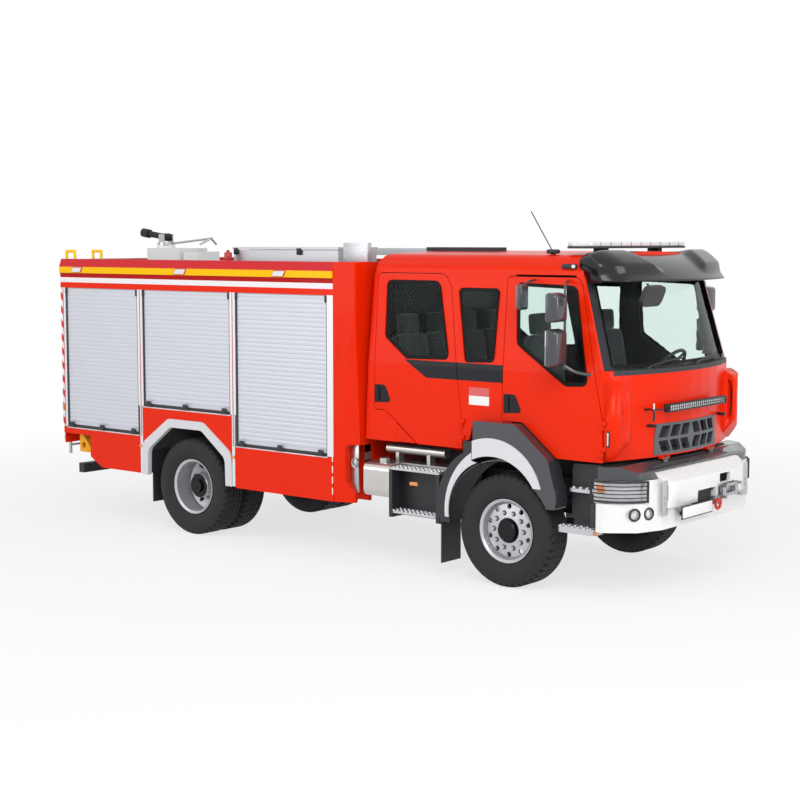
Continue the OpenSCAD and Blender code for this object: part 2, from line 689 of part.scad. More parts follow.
// Equipment body
side_t = 40;
stripe_top = body_top - 91;
stripe_low = body_top - 161;
fascia_bulge = 15;
post_x = [-rear_overhang + post_w / 2, -755, 695, body_front - 330];
slab_x0 = post_x[3] + post_w / 2;
strip_w = 40;
wall_half = body_half - 22;
module body_frame() {
    inner = body_half - 95;
    color("silver") {
        difference() {
            block([-rear_overhang + 50, -inner, rail_top], [slab_x0, inner, sill]);
            both_sides() prism_y(fillet(inset(arch_path(0), -6.3)), -body_half, -rail_y - 59.7);
        }
        both_sides() for (i = [0:3]) {
            x = post_x[i];
            z0 = i == 0 || i == 3 ? sill : arch_sill;
            block([x - post_w / 2, -body_half + 2, z0], [x + post_w / 2, -wall_half, shutter_top]);
            block([x - post_w / 2 + (i == 0 ? 10 : 0), -wall_half - 1, z0],
                [x + post_w / 2, -body_half + 44, shutter_top]);
            block([x - post_w / 2 + (i == 0 ? 10 : 0), -body_half + 40, z0 - 30],
                [x + post_w / 2, -inner + 30, shutter_top + 40]);
        }
        both_sides() for (x = [post_x[1], post_x[2]])
            block([x - strip_w / 2, -body_half + 2, skirt_bottom + 5],
                [x + strip_w / 2, -body_half + 44, arch_sill + 1]);
        both_sides() block([-rear_overhang + 10, -body_half + 44, shutter_top],
            [slab_x0, -inner + 30, shutter_top + 40]);
        both_sides() block([post_x[1] - post_w / 2, -body_half + 44, arch_sill - 40],
            [post_x[2] + post_w / 2, -inner + 30, arch_sill]);
        both_sides() for (x = [[-rear_overhang + 10, post_x[1] + 18], [post_x[2] - 18, slab_x0]])
            block([x[0], -body_half + 44, sill - 40], [x[1], -inner + 1, sill]);
        both_sides() block([-rear_overhang + 50, -inner, sill - 1],
            [-rear_overhang + 90, -inner + 60, shutter_top + 40]);
    }
}
function fascia() = [
    [-body_half + 20, shutter_top + 40, 0], [-body_half, shutter_top, 0], [-body_half, stripe_low - 12, 0],
    [-body_half - fascia_bulge, stripe_low, 6], [-body_half - fascia_bulge, stripe_top, 10],
    [-body_half + 18, body_top, 12], [-body_half + 70, body_top, 12], [-body_half + 70, shutter_top + 40, 0]
];
module body_roof() {
    color("red") {
        both_sides() prism_x(fillet(fascia()), -rear_overhang, slab_x0);
        block([-rear_overhang, -body_half + 69, deck_z - 40], [slab_x0, body_half - 69, deck_z]);
        block([slab_x0 - 1, -slab_in, deck_z - 40], [front_wall_x, slab_in, deck_z]);
        block([-rear_overhang, -body_half + 69, shutter_top + 40],
            [-rear_overhang + 40, body_half - 69, body_top - 4]);
        block([front_wall_x - 40, -slab_in, shutter_top + 40], [front_wall_x, slab_in, body_top - 4]);
    }
}
slab_in = body_half - 330;
front_wall_x = body_front - 80;
// The slab's side folds inwards below a slanting line
fold_x = 240;
fold_z = 1100;
fold_deep = 80;
module slab_fold() {
    translate([body_front - fold_x, -body_half, fold_z]) rotate([0,
        atan2(fold_x, body_top - 380 - fold_z), 0])
        translate([0, 0, -1500]) linear_extrude(height = 4000)
            polygon([[0, -60], [0, 0], [2 * fold_x, 2 * fold_deep], [2 * fold_x, -60]]);
}
module body_walls() {
    rear_open = 660;
    color("red") {
        both_sides() difference() {
            prism_z(fillet([
                [slab_x0, -body_half, 0], [body_front, -body_half, 20], [body_front, -slab_in, 0],
                    [slab_x0, -slab_in, 0]
            ]), skirt_bottom - 10, body_top);
            slab_fold();
            block([slab_x0 - 10, -body_half + 115, 0], [body_front - 40, -slab_in - 40, body_top - 30]);
            prism_y(fillet([
                [body_front + 60, 1175, 0], [body_front - 160, 1175, 60], [body_front - 160, 790, 40],
                [body_front - 70, 680, 15], [body_front - 70, 500, 0], [body_front + 60, 500, 0]
            ]), -body_half - 50, 0);
        }
        block([front_wall_x, -slab_in - 1, rail_top + 20], [front_wall_x + 40, slab_in + 1, body_top - 4]);
        difference() {
            block([-rear_overhang, -wall_half, rail_bottom + 140],
                [-rear_overhang + 10, wall_half, shutter_top + 40]);
            block([-rear_overhang - 5, -rear_open, sill], [-rear_overhang + 20, rear_open, shutter_top - 40]);
        }
    }
}
skirt_y0 = -body_half + 2;
skirt_y1 = -body_half + 38;
module side_skirts() {
    gap = 6;
    p = [for (x = post_x) [x - strip_w / 2 - gap, x + strip_w / 2 + gap]];
    tail = -1640;
    color("red") both_sides() {
        block([-rear_overhang + 12, skirt_y0, sill - 80], [tail - gap, skirt_y1, sill - 4]);
        prism_y(fillet([
            [tail, sill - 4, 0], [tail, skirt_bottom + 118, 20], [tail + 200, skirt_bottom + 8, 20],
            [p[1][0], skirt_bottom + 8, 10], [p[1][0], sill - 4, 0]
        ]), skirt_y0, skirt_y1);
        difference() {
            prism_y(rect_points(p[1][1], skirt_bottom, p[2][0], arch_sill - 4), skirt_y0, skirt_y1);
            prism_y(fillet(inset(arch_path(trim_w), -0.3)), skirt_y0 - 5, skirt_y1 + 5);
            block([p[1][1] - 5, skirt_y0 - 5, 0], [p[2][0] + 5, skirt_y1 + 5, skirt_bottom + 6]);
        }
        prism_y(fillet(rect(p[2][1], skirt_bottom - 10, slab_x0 - gap, sill - 4, 10)), skirt_y0, skirt_y1);
        for (x = [-rear_overhang + 100, tail + 40, p[1][0] - 60, p[2][1] + 40, slab_x0 - 140])
            block([x, skirt_y1 - 1, sill - 39], [x + 40, -body_half + 44, sill - 5]);
        for (x = [p[1][1] + 20, p[2][0] - 60])
            block([x, skirt_y1 - 1, arch_sill - 39], [x + 40, -body_half + 44, arch_sill - 5]);
    }
}
function rect_points(x0, y0, x1, y1) = [[x0, y0], [x1, y0], [x1, y1], [x0, y1]];
// A slatted curtain in (depth, z), bottom bar first
function curtain(z0, z1, face, back, bulge) =
    let (n = floor((z1 - z0 - 60) / slat_h), h = (z1 - z0 - 60) / n)
    concat(
        [[back, z0], [face - bulge, z0], [face - bulge, z0 + 56], [face, z0 + 60]],
        [for (k = [0:n - 1]) each let (z = z0 + 60 + k * h) [
            [face - bulge * 0.6, z + h * 0.3], [face - bulge * 0.6, z + h * 0.7], [face, z + h]
        ]],
        [[back, z1]]
    );
module roller_shutters() {
    face = -body_half + 16;
    back = face + 12;
    color("silver") {
        both_sides() for (i = [0:2]) {
            z0 = i == 1 ? arch_sill : sill;
            prism_x(curtain(z0 + 0.4, shutter_top - 0.4, face, back, 6), post_x[i] + post_w / 2 + 0.4,
                post_x[i + 1] - post_w / 2 - 0.4);
        }
        translate([-rear_overhang + 2, 0, 0]) rotate([0, 0, -90])
            prism_x(curtain(sill + 0.4, shutter_top - 40.4, 0, 12, 5), -659.6, 659.6);
    }
}

// Roof equipment and the rear ladder
ladder_y = [-1120, -730];
ladder_low = 700;
module hoop(y) {
    x = -rear_overhang - ladder_standoff + 20;
    top = body_top + 85;
    bar([x, y, body_top - 140], [x, y, top], 17);
    bar([x, y, top], [x + 150, y, top], 17);
    bar([x + 150, y, top], [x + 150, y, deck_z], 17);
    for (dx = [0, 150]) translate([x + dx, y, top]) sphere(r = 17);
}
module ladders() {
    x = -rear_overhang - ladder_standoff + 20;
    color("silver") {
        for (y = ladder_y) {
            rod_z(x, y, ladder_low, body_top - 130, 20);
            hoop(y);
            for (z = [ladder_low + 200, shutter_top - 150]) rod_x(x, -rear_overhang, y, z, 14);
        }
        for (z = [ladder_low + 100:290:body_top - 150]) rod_y(x, ladder_y[0], ladder_y[1], z, 14);
    }
    x0 = -600;
    x1 = body_front - 250;
    color("silver") {
        for (y = [330, 730]) block([x0, y, deck_z + 90], [x1, y + 30, deck_z + 165]);
        for (x = [x0 + 120:290:x1 - 60]) rod_y(x, 340, 750, deck_z + 128, 15);
        for (x = [x0 + 250, x1 - 330]) block([x, 320, deck_z], [x + 60, 770, deck_z + 91]);
    }
}
cannon_x = -1600;
cannon_y = -80;
cannon_z = deck_z + cannon_h;
module roof_boxes() {
    color("white") {
        block([cannon_x - 90, cannon_y - 220, deck_z], [cannon_x + 430, cannon_y + 260, cannon_z - 30]);
        rod_z(cannon_x, cannon_y, cannon_z - 31, cannon_z, 110);
        rod_z(cannon_x, cannon_y, cannon_z - 1, cannon_z + 28, 40);
        block([cannon_x + 470, cannon_y - 160, deck_z], [cannon_x + 720, cannon_y + 180, deck_z + 120]);
        block([slab_x0 - 150, -slab_in + 2, deck_z], [front_wall_x - 41, -slab_in + 60, deck_z + 225]);
    }
}
locker_x0 = body_front - 2070;
locker_x1 = body_front - 570;
locker_y0 = -850;
locker_y1 = -250;
lid_t = 25;
lid_z = deck_z + locker_h - lid_t;
module roof_locker() {
    t = 20;
    color("silver") {
        difference() {
            block([locker_x0, locker_y0, deck_z], [locker_x1, locker_y1, lid_z - 5]);
            block([locker_x0 + t, locker_y0 + t, deck_z + t], [locker_x1 - t, locker_y1 - t, lid_z + 5]);
        }
        for (x = [locker_x0 + 200, locker_x1 - 320])
            block([x, locker_y1 - 1, lid_z - 60], [x + 30, locker_y1 + 45, lid_z - 8]);
        for (x = [locker_x0 + 200, locker_x1 - 320])
            rod_x(x + 29, x + 90, locker_y1 + 26, lid_z - 26, 9);
    }
}
module locker_lid() {
    color("silver") {
        block([locker_x0 - 12, locker_y0 - 14, lid_z], [locker_x1 + 12, locker_y1 + 6, lid_z + lid_t]);
        for (x = [locker_x0 + 235, locker_x1 - 285]) difference() {
            union() {
                rod_x(x, x + 46, locker_y1 + 26, lid_z - 26, 18);
                block([x, locker_y1 + 8, lid_z - 26], [x + 46, locker_y1 + 44, lid_z + lid_t]);
                block([x, locker_y1 + 5, lid_z], [x + 46, locker_y1 + 44, lid_z + lid_t]);
            }
            rod_x(x - 1, x + 47, locker_y1 + 26, lid_z - 26, 9 + run_gap);
        }
    }
}
tilt_z = cannon_z + 98;
module cannon_swivel() {
    color("dimgray") difference() {
        union() {
            rod_z(cannon_x, cannon_y, cannon_z + 5, cannon_z + 38, 105);
            both_cheeks() block([cannon_x - 42, 62, cannon_z + 37], [cannon_x + 42, 80, tilt_z + 36]);
            rod_y(cannon_x, cannon_y - 79, cannon_y + 79, tilt_z, 18);
            bar([cannon_x + 80, cannon_y, cannon_z + 21], [cannon_x + 790, cannon_y, cannon_z + 84], 13);
            for (dy = [-1, 1])
                bar([cannon_x + 770, cannon_y, cannon_z + 82],
                    [cannon_x + 720, cannon_y + dy * 130, cannon_z + 14], 12);
        }
        rod_z(cannon_x, cannon_y, cannon_z, cannon_z + 33, 40 + run_gap);
    }
}
module both_cheeks() {
    translate([0, cannon_y, 0]) both_sides() children();
}
module cannon_barrel() {
    nose = [cannon_x - 400, cannon_y, tilt_z + 56];
    color("dimgray") difference() {
        union() {
            rod_y(cannon_x, cannon_y - 54, cannon_y + 54, tilt_z, 46);
            bar([cannon_x, cannon_y, tilt_z], nose, 36);
            bar(nose + [110, 0, -15], nose, 52);
        }
        rod_y(cannon_x, cannon_y - 60, cannon_y + 60, tilt_z, 18 + run_gap);
        bar(nose + [40, 0, -6], nose + [-40, 0, 6], 30);
    }
}
module wheel_chocks() {
    x = -1900;
    z = sill - 290;
    color("yellow") both_sides() difference() {
        prism_y(fillet([[x, z, 12], [x + 190, z, 12], [x + 190, z + 60, 12], [x + 60, z + 200, 20],
            [x, z + 200, 12]]),
            -body_half + 60, -body_half + 240);
        rod_y(x + 70, -body_half, 0, z + 80, 35);
    }
    color("yellow") both_sides()
        block([x + 20, -body_half + 100, z + 199], [x + 60, -body_half + 200, rail_top]);
}

// Cab outlines, in lengths from the front axle and heights
function cab_section() = [
    [-cab_half, cab_bottom, 0], [cab_half, cab_bottom, 0], [cab_half, waist, 300],
    [cab_half - tumblehome, cab_top - 150, 90], [cab_half - 190, cab_top - 30, 160], [0, cab_top, 0],
    [190 - cab_half, cab_top - 30, 160], [tumblehome - cab_half, cab_top - 150, 90], [-cab_half, waist, 300]
];
function cab_profile() = [
    [-cab_back_reach, cab_bottom, 0], [1400, cab_bottom, 0], [1400, 3200, 0], [900, cab_top + 60, 0],
    [-cab_back_reach + 105, cab_top + 2, 110], [-cab_back_reach + 80, 2700, 0]
];
front_r = 2820;
screen_r = 3600;
screen_base = 1175;
function nose_curve(y) = cab_front_reach - front_r + sqrt(front_r * front_r - y * y);
function cab_plan() = concat(
    [[700, -cab_half, 0], [1018, -cab_half, 90]],
    [for (k = [-5:5]) [nose_curve(k * 200), k * 200, 0]],
    [[1018, cab_half, 90], [700, cab_half, 0]]
);
door_top = 2875;
arch_top = 1530;
function rear_door_path() = [
    [260 - cab_back_reach, 1545, 90], [120 - cab_back_reach, 1545, 30], [130 - cab_back_reach, door_top, 50],
    [-790, door_top, 110], [-715, 2750, 60], [-560, 1510, 0], [-545, cab_bottom, 12],
    [660 - cab_back_reach, cab_bottom, 40]
];
function front_door_path() = [
    [-87, arch_top + 10, 12], [-65, 2862, 40], [728, 2862, 90], [990, 1620, 0], [1005, cab_bottom, 12],
    [514, cab_bottom, 60], [142, arch_top + 10, 70]
];
function arch_cut() = [
    [-545, cab_bottom - 20, 0], [-538, 1312, 0], [-462, 1334, 30], [-420, 1490, 40], [-330, arch_top, 60],
    [140, arch_top, 70],
    [500, cab_bottom, 60], [600, 900, 60], [585, 790, 20], [-545, 790, 0]
];
function rear_window() = [
    [235 - cab_back_reach, 2813, 60], [234 - cab_back_reach, 2256, 60], [513 - cab_back_reach, 2055, 60],
    [-706, 2068, 50], [-850, 2813, 80]
];
function mid_window() = [[-636, 2752, 50], [-527, 2054, 40], [-186, 2067, 40], [-150, 2752, 40]];
function front_window() = [[35, 2812, 50], [55, 2247, 70], [600, 1893, 80], [846, 1906, 60], [690, 2790, 70]];
function on_axle(path) = shift(path, [x_fa, 0]);
// Side wall of the cab between two depths
module cab_tube(t0, t1) {
    difference() {
        prism_x(fillet(inset(cab_section(), t0)), cab_rear - 5, cab_nose);
        prism_x(fillet(inset(cab_section(), t1)), cab_rear - 10, cab_nose + 10);
    }
}
module wall_piece(path, side, t0, t1) {
    intersection() {
        prism_x(fillet(inset(cab_section(), t0)), cab_rear - 5, cab_nose);
        prism_y(fillet(on_axle(path)), side * 700, side * (cab_half + 50));
        wall_slab(side, t0, t1);
    }
}
// The band of section between two depths on one side
module wall_slab(side, t0, t1) {
    prism_x(side_points(side, t0, t1), cab_rear - 5, cab_nose);
}
function side_points(side, t0, t1) =
    let (z0 = cab_bottom - 5, zt = cab_top - 150, a = cab_half, b = cab_half - tumblehome,
        lean = b - tumblehome * 60 / (zt - waist))
    [
        [side * (a - t0 + 5), z0], [side * (a - t0 + 5), waist + 5], [side * (b - t0 + 5), zt],
            [side * (lean - t0 + 5), zt + 60],
        [side * (lean - t1), zt + 60], [side * (b - t1), zt], [side * (a - t1), waist], [side * (a - t1), z0]
    ];
module screen_solid(r_less) {
    translate([x_fa + screen_base, 0, 2050]) rotate([0, -screen_rake, 0])
        translate([-screen_r, 0, -2600]) cylinder(r = screen_r - r_less, h = 5200, $fn = 720);
}
function screen_face() = [
    [-1012, 2062, 40], [1012, 2062, 40], [962, 2925, 70], [-962, 2925, 70]
];

// Doors. Each hangs on two pins in line, a little outside its front edge.
hinge_out = 13;
hinge_pin = 6;
hinge_leaf = 40;
front_hinge_x = 1008.5;
rear_hinge_x = -541.5;
front_hinge_z = [1300, 1530];
rear_hinge_z = [1285, 1440];
module hinge_leaf_on_door(x, z, side) {
    difference() {
        union() {
            rod_z(x_fa + x, side * (cab_half + hinge_out), z, z + hinge_leaf, 11);
            block([x_fa + x - 45, side * (cab_half - 1), z],
                [x_fa + x - 24, side * (cab_half + hinge_out + 5), z + hinge_leaf]);
            block([x_fa + x - 25, side * (cab_half + 3), z],
                [x_fa + x, side * (cab_half + hinge_out + 5), z + hinge_leaf]);
        }
        rod_z(x_fa + x, side * (cab_half + hinge_out), z - 1, z + hinge_leaf + 1, hinge_pin + run_gap);
    }
}
module hinge_leaf_on_cab(x, z, side) {
    rod_z(x_fa + x, side * (cab_half + hinge_out), z + hinge_leaf + 5, z + 2 * hinge_leaf + 5, 11);
    block([x_fa + x, side * (cab_half - 1), z + hinge_leaf + 5],
        [x_fa + x + 30, side * (cab_half + hinge_out + 5), z + 2 * hinge_leaf + 5]);
    rod_z(x_fa + x, side * (cab_half + hinge_out), z + 2, z + hinge_leaf + 6, hinge_pin);
}
module door_panel(path, window, side) {
    color("red") difference() {
        wall_piece(path, side, 0, wall_t);
        prism_y(fillet(on_axle(window)), side * 600, side * (cab_half + 60));
    }
}
module door_glass(window, side) {
    color("black") wall_piece(inset(window, 0.2), side, 14, 14 + glass_t);
}
module handle(x, z, side) {
    color("black") {
        prism_y(fillet(on_axle([
            [x, z - 88, 10], [x + 205, z - 76, 25], [x + 130, z + 90, 50], [x, z + 88, 10]
        ])), side * (cab_half - 1), side * (cab_half + 5));
        prism_y(fillet(on_axle([
            [x + 14, z - 66, 10], [x + 62, z - 66, 10], [x + 62, z + 66, 10], [x + 14, z + 66, 10]
        ])), side * (cab_half + 4), side * (cab_half + 20));
    }
}
module front_door(side) {
    door_panel(front_door_path(), front_window(), side);
    color("red") for (z = front_hinge_z) hinge_leaf_on_door(front_hinge_x, z, side);
    handle(-70, 1700, side);
}
module rear_door(side) {
    door_panel(rear_door_path(), rear_window(), side);
    color("red") for (z = rear_hinge_z) hinge_leaf_on_door(rear_hinge_x, z, side);
    handle(124 - cab_back_reach, 1700, side);
}
module door_front_right() { front_door(RIGHT); }
module door_front_left() { front_door(LEFT); }
module door_rear_right() { rear_door(RIGHT); }
module door_rear_left() { rear_door(LEFT); }
module glass_front_right() { door_glass(front_window(), RIGHT); }
module glass_front_left() { door_glass(front_window(), LEFT); }
module glass_rear_right() { door_glass(rear_window(), RIGHT); }
module glass_rear_left() { door_glass(rear_window(), LEFT); }
module side_mirror(side) {
    y = side * (cab_half + 225);
    x = x_fa + 640;
    color("black") {
        difference() {
            union() {
                bar([x_fa + 868, side * (cab_half - 40), 2010], [x + 40, y - side * 95, 2075], 14);
                bar([x + 40, y - side * 95, 2060], [x + 40, y - side * 95, 2790], 14);
                bar([x + 40, y - side * 95, 2780], [x - 60, side * (cab_half - tumblehome - 25), 2838], 14);
                if (side == RIGHT) bar([x_fa + 235, -cab_half + 90, 2845],
                    [x_fa + 235, -cab_half - 150, 2780], 10);
            }
            prism_x(fillet(cab_section()), cab_rear, cab_nose);
        }
        if (side == RIGHT)
            prism_x(fillet(rect(-cab_half - 220, 2570, -cab_half - 80, 2805, 60)), x_fa + 205, x_fa + 265);
        for (z = [[2080, 2425], [2470, 2740]])
            prism_z(fillet([[x - 40, y - 115, 30], [x + 75, y - 90, 40], [x + 75, y + 90, 40],
                [x - 40, y + 115, 30]]), z[0], z[1]);
    }
}
module mirror_right() { side_mirror(RIGHT); }
module mirror_left() { side_mirror(LEFT); }

// Cab shell
floor_t = 60;
module cab_floor() {
    half = cab_half - wall_t - 10;
    arch_in = 620;
    color("dimgray") difference() {
        union() {
            block([cab_rear + 45.2, -half, cab_bottom + 5], [x_fa + 800, half, cab_bottom + 5 + floor_t]);
            intersection() {
                prism_z(fillet(on_axle(inset(cab_plan(), wall_t))), cab_bottom + 5, cab_bottom + 5 + floor_t);
                block([x_fa + 700, -half, 0], [cab_nose, half, 2000]);
            }
            both_sides() prism_y(fillet(on_axle(inset(arch_cut(), -45))), -half, -arch_in);
            block([x_fa - 330, -380, cab_bottom + 10], [x_fa + 830, 380, cab_bottom + 190]);
        }
        both_sides() prism_y(fillet(on_axle(inset(arch_cut(), -4))), -half - 50, -arch_in - 40);
        block([x_fa - 1200, -half - 10, 0], [x_fa + 1130, half + 10, cab_bottom + 4]);
    }
}
module cab_back() {
    color("red") intersection() {
        prism_x(fillet(cab_section()), cab_rear - 50, cab_rear + 400);
        union() {
            prism_y([
                [cab_rear, cab_bottom], [cab_rear + 42, cab_bottom], [cab_rear + 122, 2880],
                    [cab_rear + 80, 2880]
            ], -cab_half, cab_half);
            both_sides() difference() {
                intersection() {
                    prism_y(on_axle([
                        [-cab_back_reach, cab_bottom], [685 - cab_back_reach, cab_bottom],
                        [305 - cab_back_reach, 1570], [185 - cab_back_reach, 1700],
                        [185 - cab_back_reach, 2880], [80 - cab_back_reach, 2880]
                    ]), -cab_half - 10, 0);
                    wall_slab(RIGHT, 0, wall_t + 10);
                }
                prism_y(fillet(on_axle(inset(rear_door_path(), -door_gap))), -cab_half - 60, 0);
            }
        }
    }
}
module cab_roof() {
    low = 2882;
    color("red") intersection() {
        prism_y(fillet(on_axle(cab_profile())), -cab_half, cab_half);
        screen_solid(0);
        union() {
            difference() {
                cab_tube(0, wall_t + 10);
                block([cab_rear - 100, -cab_half - 50, 0], [cab_nose + 100, cab_half + 50, low]);
            }
            difference() {
                intersection() {
                    prism_x(fillet(cab_section()), x_fa + 400, cab_nose);
                    block([x_fa + 400, -cab_half, 2926], [cab_nose, cab_half, cab_top + 50]);
                }
                screen_solid(60);
            }
        }
    }
}
module cab_sides() {
    color("red") both_sides() {
        difference() {
            wall_piece([
                [-700, cab_bottom, 0], [-545, cab_bottom, 0], [-538, 1312, 0], [-462, 1334, 30],
                    [-420, 1490, 40],
                [-330, arch_top, 60],
                [20, arch_top, 0], [20, 2881.5, 0], [-900, 2881.5, 0], [-900, cab_bottom, 0]
            ], RIGHT, 0, wall_t + 10);
            prism_y(fillet(on_axle(inset(rear_door_path(), -door_gap))), -cab_half - 60, 0);
            prism_y(fillet(on_axle(inset(front_door_path(), -door_gap))), -cab_half - 60, 0);
            prism_y(fillet(on_axle(mid_window())), -cab_half - 60, 0);
        }
        for (z = rear_hinge_z) hinge_leaf_on_cab(rear_hinge_x, z, RIGHT);
        difference() {
            intersection() {
                prism_x(fillet(cab_section()), x_fa + 500, cab_nose);
                screen_solid(0);
                block([x_fa + 500, -cab_half, 2051], [cab_nose, -700, 2881.5]);
            }
            screen_solid(75);
            prism_x(fillet(screen_face()), x_fa, cab_nose + 50);
            prism_y(fillet(on_axle(inset(front_door_path(), -door_gap))), -cab_half - 60, -700);
        }
    }
}
nose_top = 2050;
cowl_h = 45;
cowl_half = cab_half - 90;
// Air deflector that stands out from the corner, with a duct open towards the grille
module corner_deflector() {
    difference() {
        intersection() {
            prism_z(fillet(on_axle([
                [1018, -cab_half, 0], [1035, -cab_half, 0], [1135, -cab_half - 8, 60],
                    [1198, -cab_half + 135, 40],
                [1175, -cab_half + 165, 10], [1060, -cab_half + 200, 0], [1018, -cab_half + 100, 0]
            ])), cab_bottom + 22, nose_top);
            prism_y(fillet(on_axle([
                [1000, cab_bottom + 22, 0], [1045, cab_bottom + 22, 30], [1175, 1440, 120],
                    [1200, 1700, 0], [1165, 1890, 60],
                [1060, 1945, 30], [1000, 1945, 0]
            ])), -cab_half - 50, -800);
        }
        prism_y(fillet(on_axle([
            [1115, 1460, 10], [1155, 1490, 20], [1168, 1700, 0], [1150, 1840, 20], [1115, 1860, 10]
        ])), -cab_half + 60, -800);
    }
}
module nose_shell() {
    low = cab_bottom + 12;
    difference() {
        union() {
            prism_z(fillet(on_axle(cab_plan())), low, nose_top);
            both_sides() corner_deflector();
        }
        prism_z(fillet(on_axle(inset(cab_plan(), wall_t))), low - 5, nose_top - 35);
        block([x_fa + 600, -cab_half - 5, 0], [x_fa + 820, cab_half + 5, nose_top + 5]);
        intersection() {
            screen_solid(80);
            block([x_fa + 600, -cab_half, nose_top - 36], [cab_nose + 200, cab_half, nose_top + 20]);
        }
        both_sides() prism_y(fillet(on_axle(inset(front_door_path(), -door_gap))), -cab_half - 60, -700);
        prism_x(fillet(inset(grille_path(), -0.3)), x_fa + 900, cab_nose + 50);
    }
}
module cowl_room() {
    block([x_fa + 900, -cowl_half, nose_top - cowl_h], [cab_nose + 50, cowl_half, nose_top + 50]);
}
module cab_front() {
    low = cab_bottom + 12;
    color("red") {
        difference() {
            nose_shell();
            cowl_room();
        }
        both_sides() for (z = front_hinge_z) hinge_leaf_on_cab(front_hinge_x, z, RIGHT);
        for (y = tilt_eyes) {
            rod_y(tilt_x, y - 30, y + tilt_eye_w + 30, tilt_pin_z, tilt_pin_r);
            for (e = [y - 31, y + tilt_eye_w + 6])
                block([tilt_x - 40, e, tilt_pin_z - tilt_pin_r - 1], [tilt_x + 7, e + 25, low + 2]);
        }
    }
}
function grille_path() = [[-575, 1266, 25], [575, 1266, 25], [545, 1550, 25], [-545, 1550, 25]];
module grille() {
    color("dimgray") difference() {
        intersection() {
            prism_z(fillet(on_axle(inset(cab_plan(), -6))), 1200, 1600);
            prism_x(fillet(grille_path()), x_fa + 900, cab_nose + 50);
        }
        prism_z(fillet(on_axle(inset(cab_plan(), 32))), 1190, 1610);
        both_sides() for (row = [0, 1]) for (k = [0:2]) {
            y = 36 + k * 160;
            z = 1290 + row * 132;
            lean = row == 0 ? 24 : -24;
            prism_x(fillet([
                [y - lean, z, 8], [y + 128 - lean, z, 8], [y + 128 + lean, z + 104, 8], [y + lean, z + 104, 8]
            ]), x_fa + 900, cab_nose + 50);
        }
    }
}
module cab_glass() {
    color("black") {
        intersection() {
            difference() {
                screen_solid(12);
                screen_solid(12 + glass_t);
            }
            prism_x(fillet(inset(screen_face(), 0.2)), x_fa + 600, cab_nose);
        }
        both_sides() wall_piece(inset(mid_window(), 0.2), RIGHT, 14, 14 + glass_t);
    }
}
bar_x = x_fa + 555;
module cab_lamps() {
    color("white") {
        prism_y(fillet(rect(bar_x - 140, cab_top + 28, bar_x + 140, cab_top + 90, 26)), -light_bar_l / 2,
            light_bar_l / 2);
        for (y = [-520, 440]) difference() {
            block([bar_x - 60, y, cab_top - 30], [bar_x + 60, y + 80, cab_top + 29]);
            prism_x(fillet(cab_section()), cab_rear, cab_nose);
        }
        prism_y(fillet(rect(cab_nose + 30, 1672, cab_nose + 78, 1726, 10)), -520, 520);
        for (y = [-400, 340]) difference() {
            block([cab_nose - 60, y, 1690], [cab_nose + 31, y + 60, 1710]);
            prism_z(fillet(on_axle(cab_plan())), 1600, 1800);
        }
    }
}
function visor_plan() = concat(
    [[560, -cab_half + 70, 0], [900, -cab_half + 50, 160]],
    [for (k = [-4:4]) [nose_curve(k * 220) + 5, k * 220, 0]],
    [[900, cab_half - 50, 160], [560, cab_half - 70, 0]]
);
function visor_profile() = [
    [700, 2900, 0], [800, 2822, 40], [1235, 2808, 12], [1245, 2832, 12], [1110, 2940, 0], [900, 3040, 0],
    [700, 3084, 0]
];
function lobe_plan() = [
    [702, -cab_half + 60, 0], [900, -cab_half + 54, 120], [1130, -cab_half + 160, 140], [1225, -700, 110],
    [1120, -470, 120], [702, -420, 0]
];
function lobe_profile() = [
    [702, 2985, 0], [1160, 2868, 20], [1222, 2880, 15], [1120, 2990, 120], [880, 3075, 100], [702, 3090, 0]
];
module hood() { prism_y(fillet(on_axle(visor_profile())), -cab_half, cab_half); }
module visor() {
    color("black") {
        difference() {
            intersection() {
                prism_z(fillet(on_axle(visor_plan())), 2800, 3095);
                hood();
            }
            screen_solid(-0.3);
        }
        both_sides() difference() {
            intersection() {
                prism_z(fillet(on_axle(lobe_plan())), 2800, 3095);
                prism_y(fillet(on_axle(lobe_profile())), -cab_half, -300);
            }
            hood();
            screen_solid(-0.3);
        }
    }
}
module dashboard() {
    color("dimgray") {
        intersection() {
            prism_z(fillet(on_axle(inset(cab_plan(), wall_t))), cab_bottom + 66, 2040);
            prism_y(fillet(on_axle([
                [860, 1660, 40], [1200, 1500, 0], [1200, 1960, 0], [1040, 2012, 40], [820, 1960, 60]
            ])), -cab_half, cab_half);
            block([x_fa + 700, -cab_half + wall_t + 20, 0], [cab_nose, cab_half - wall_t - 20, 3000]);
        }
        bar([x_fa + 900, 560, 1800], [x_fa + 690, 560, 1960], 34);
        translate([x_fa + 680, 560, 1967]) rotate([0, -52, 0]) {
            rotate_extrude() translate([215, 0]) circle(r = 17);
            translate([0, 0, -14]) cylinder(r = 60, h = 24);
            for (a = [30, 150, 270]) rotate([0, 0, a]) translate([0, -16, -8]) cube([215, 32, 12]);
        }
        block([x_fa + 960, -400, cab_bottom + 5 + floor_t], [x_fa + 1100, 400, 1700]);
    }
}
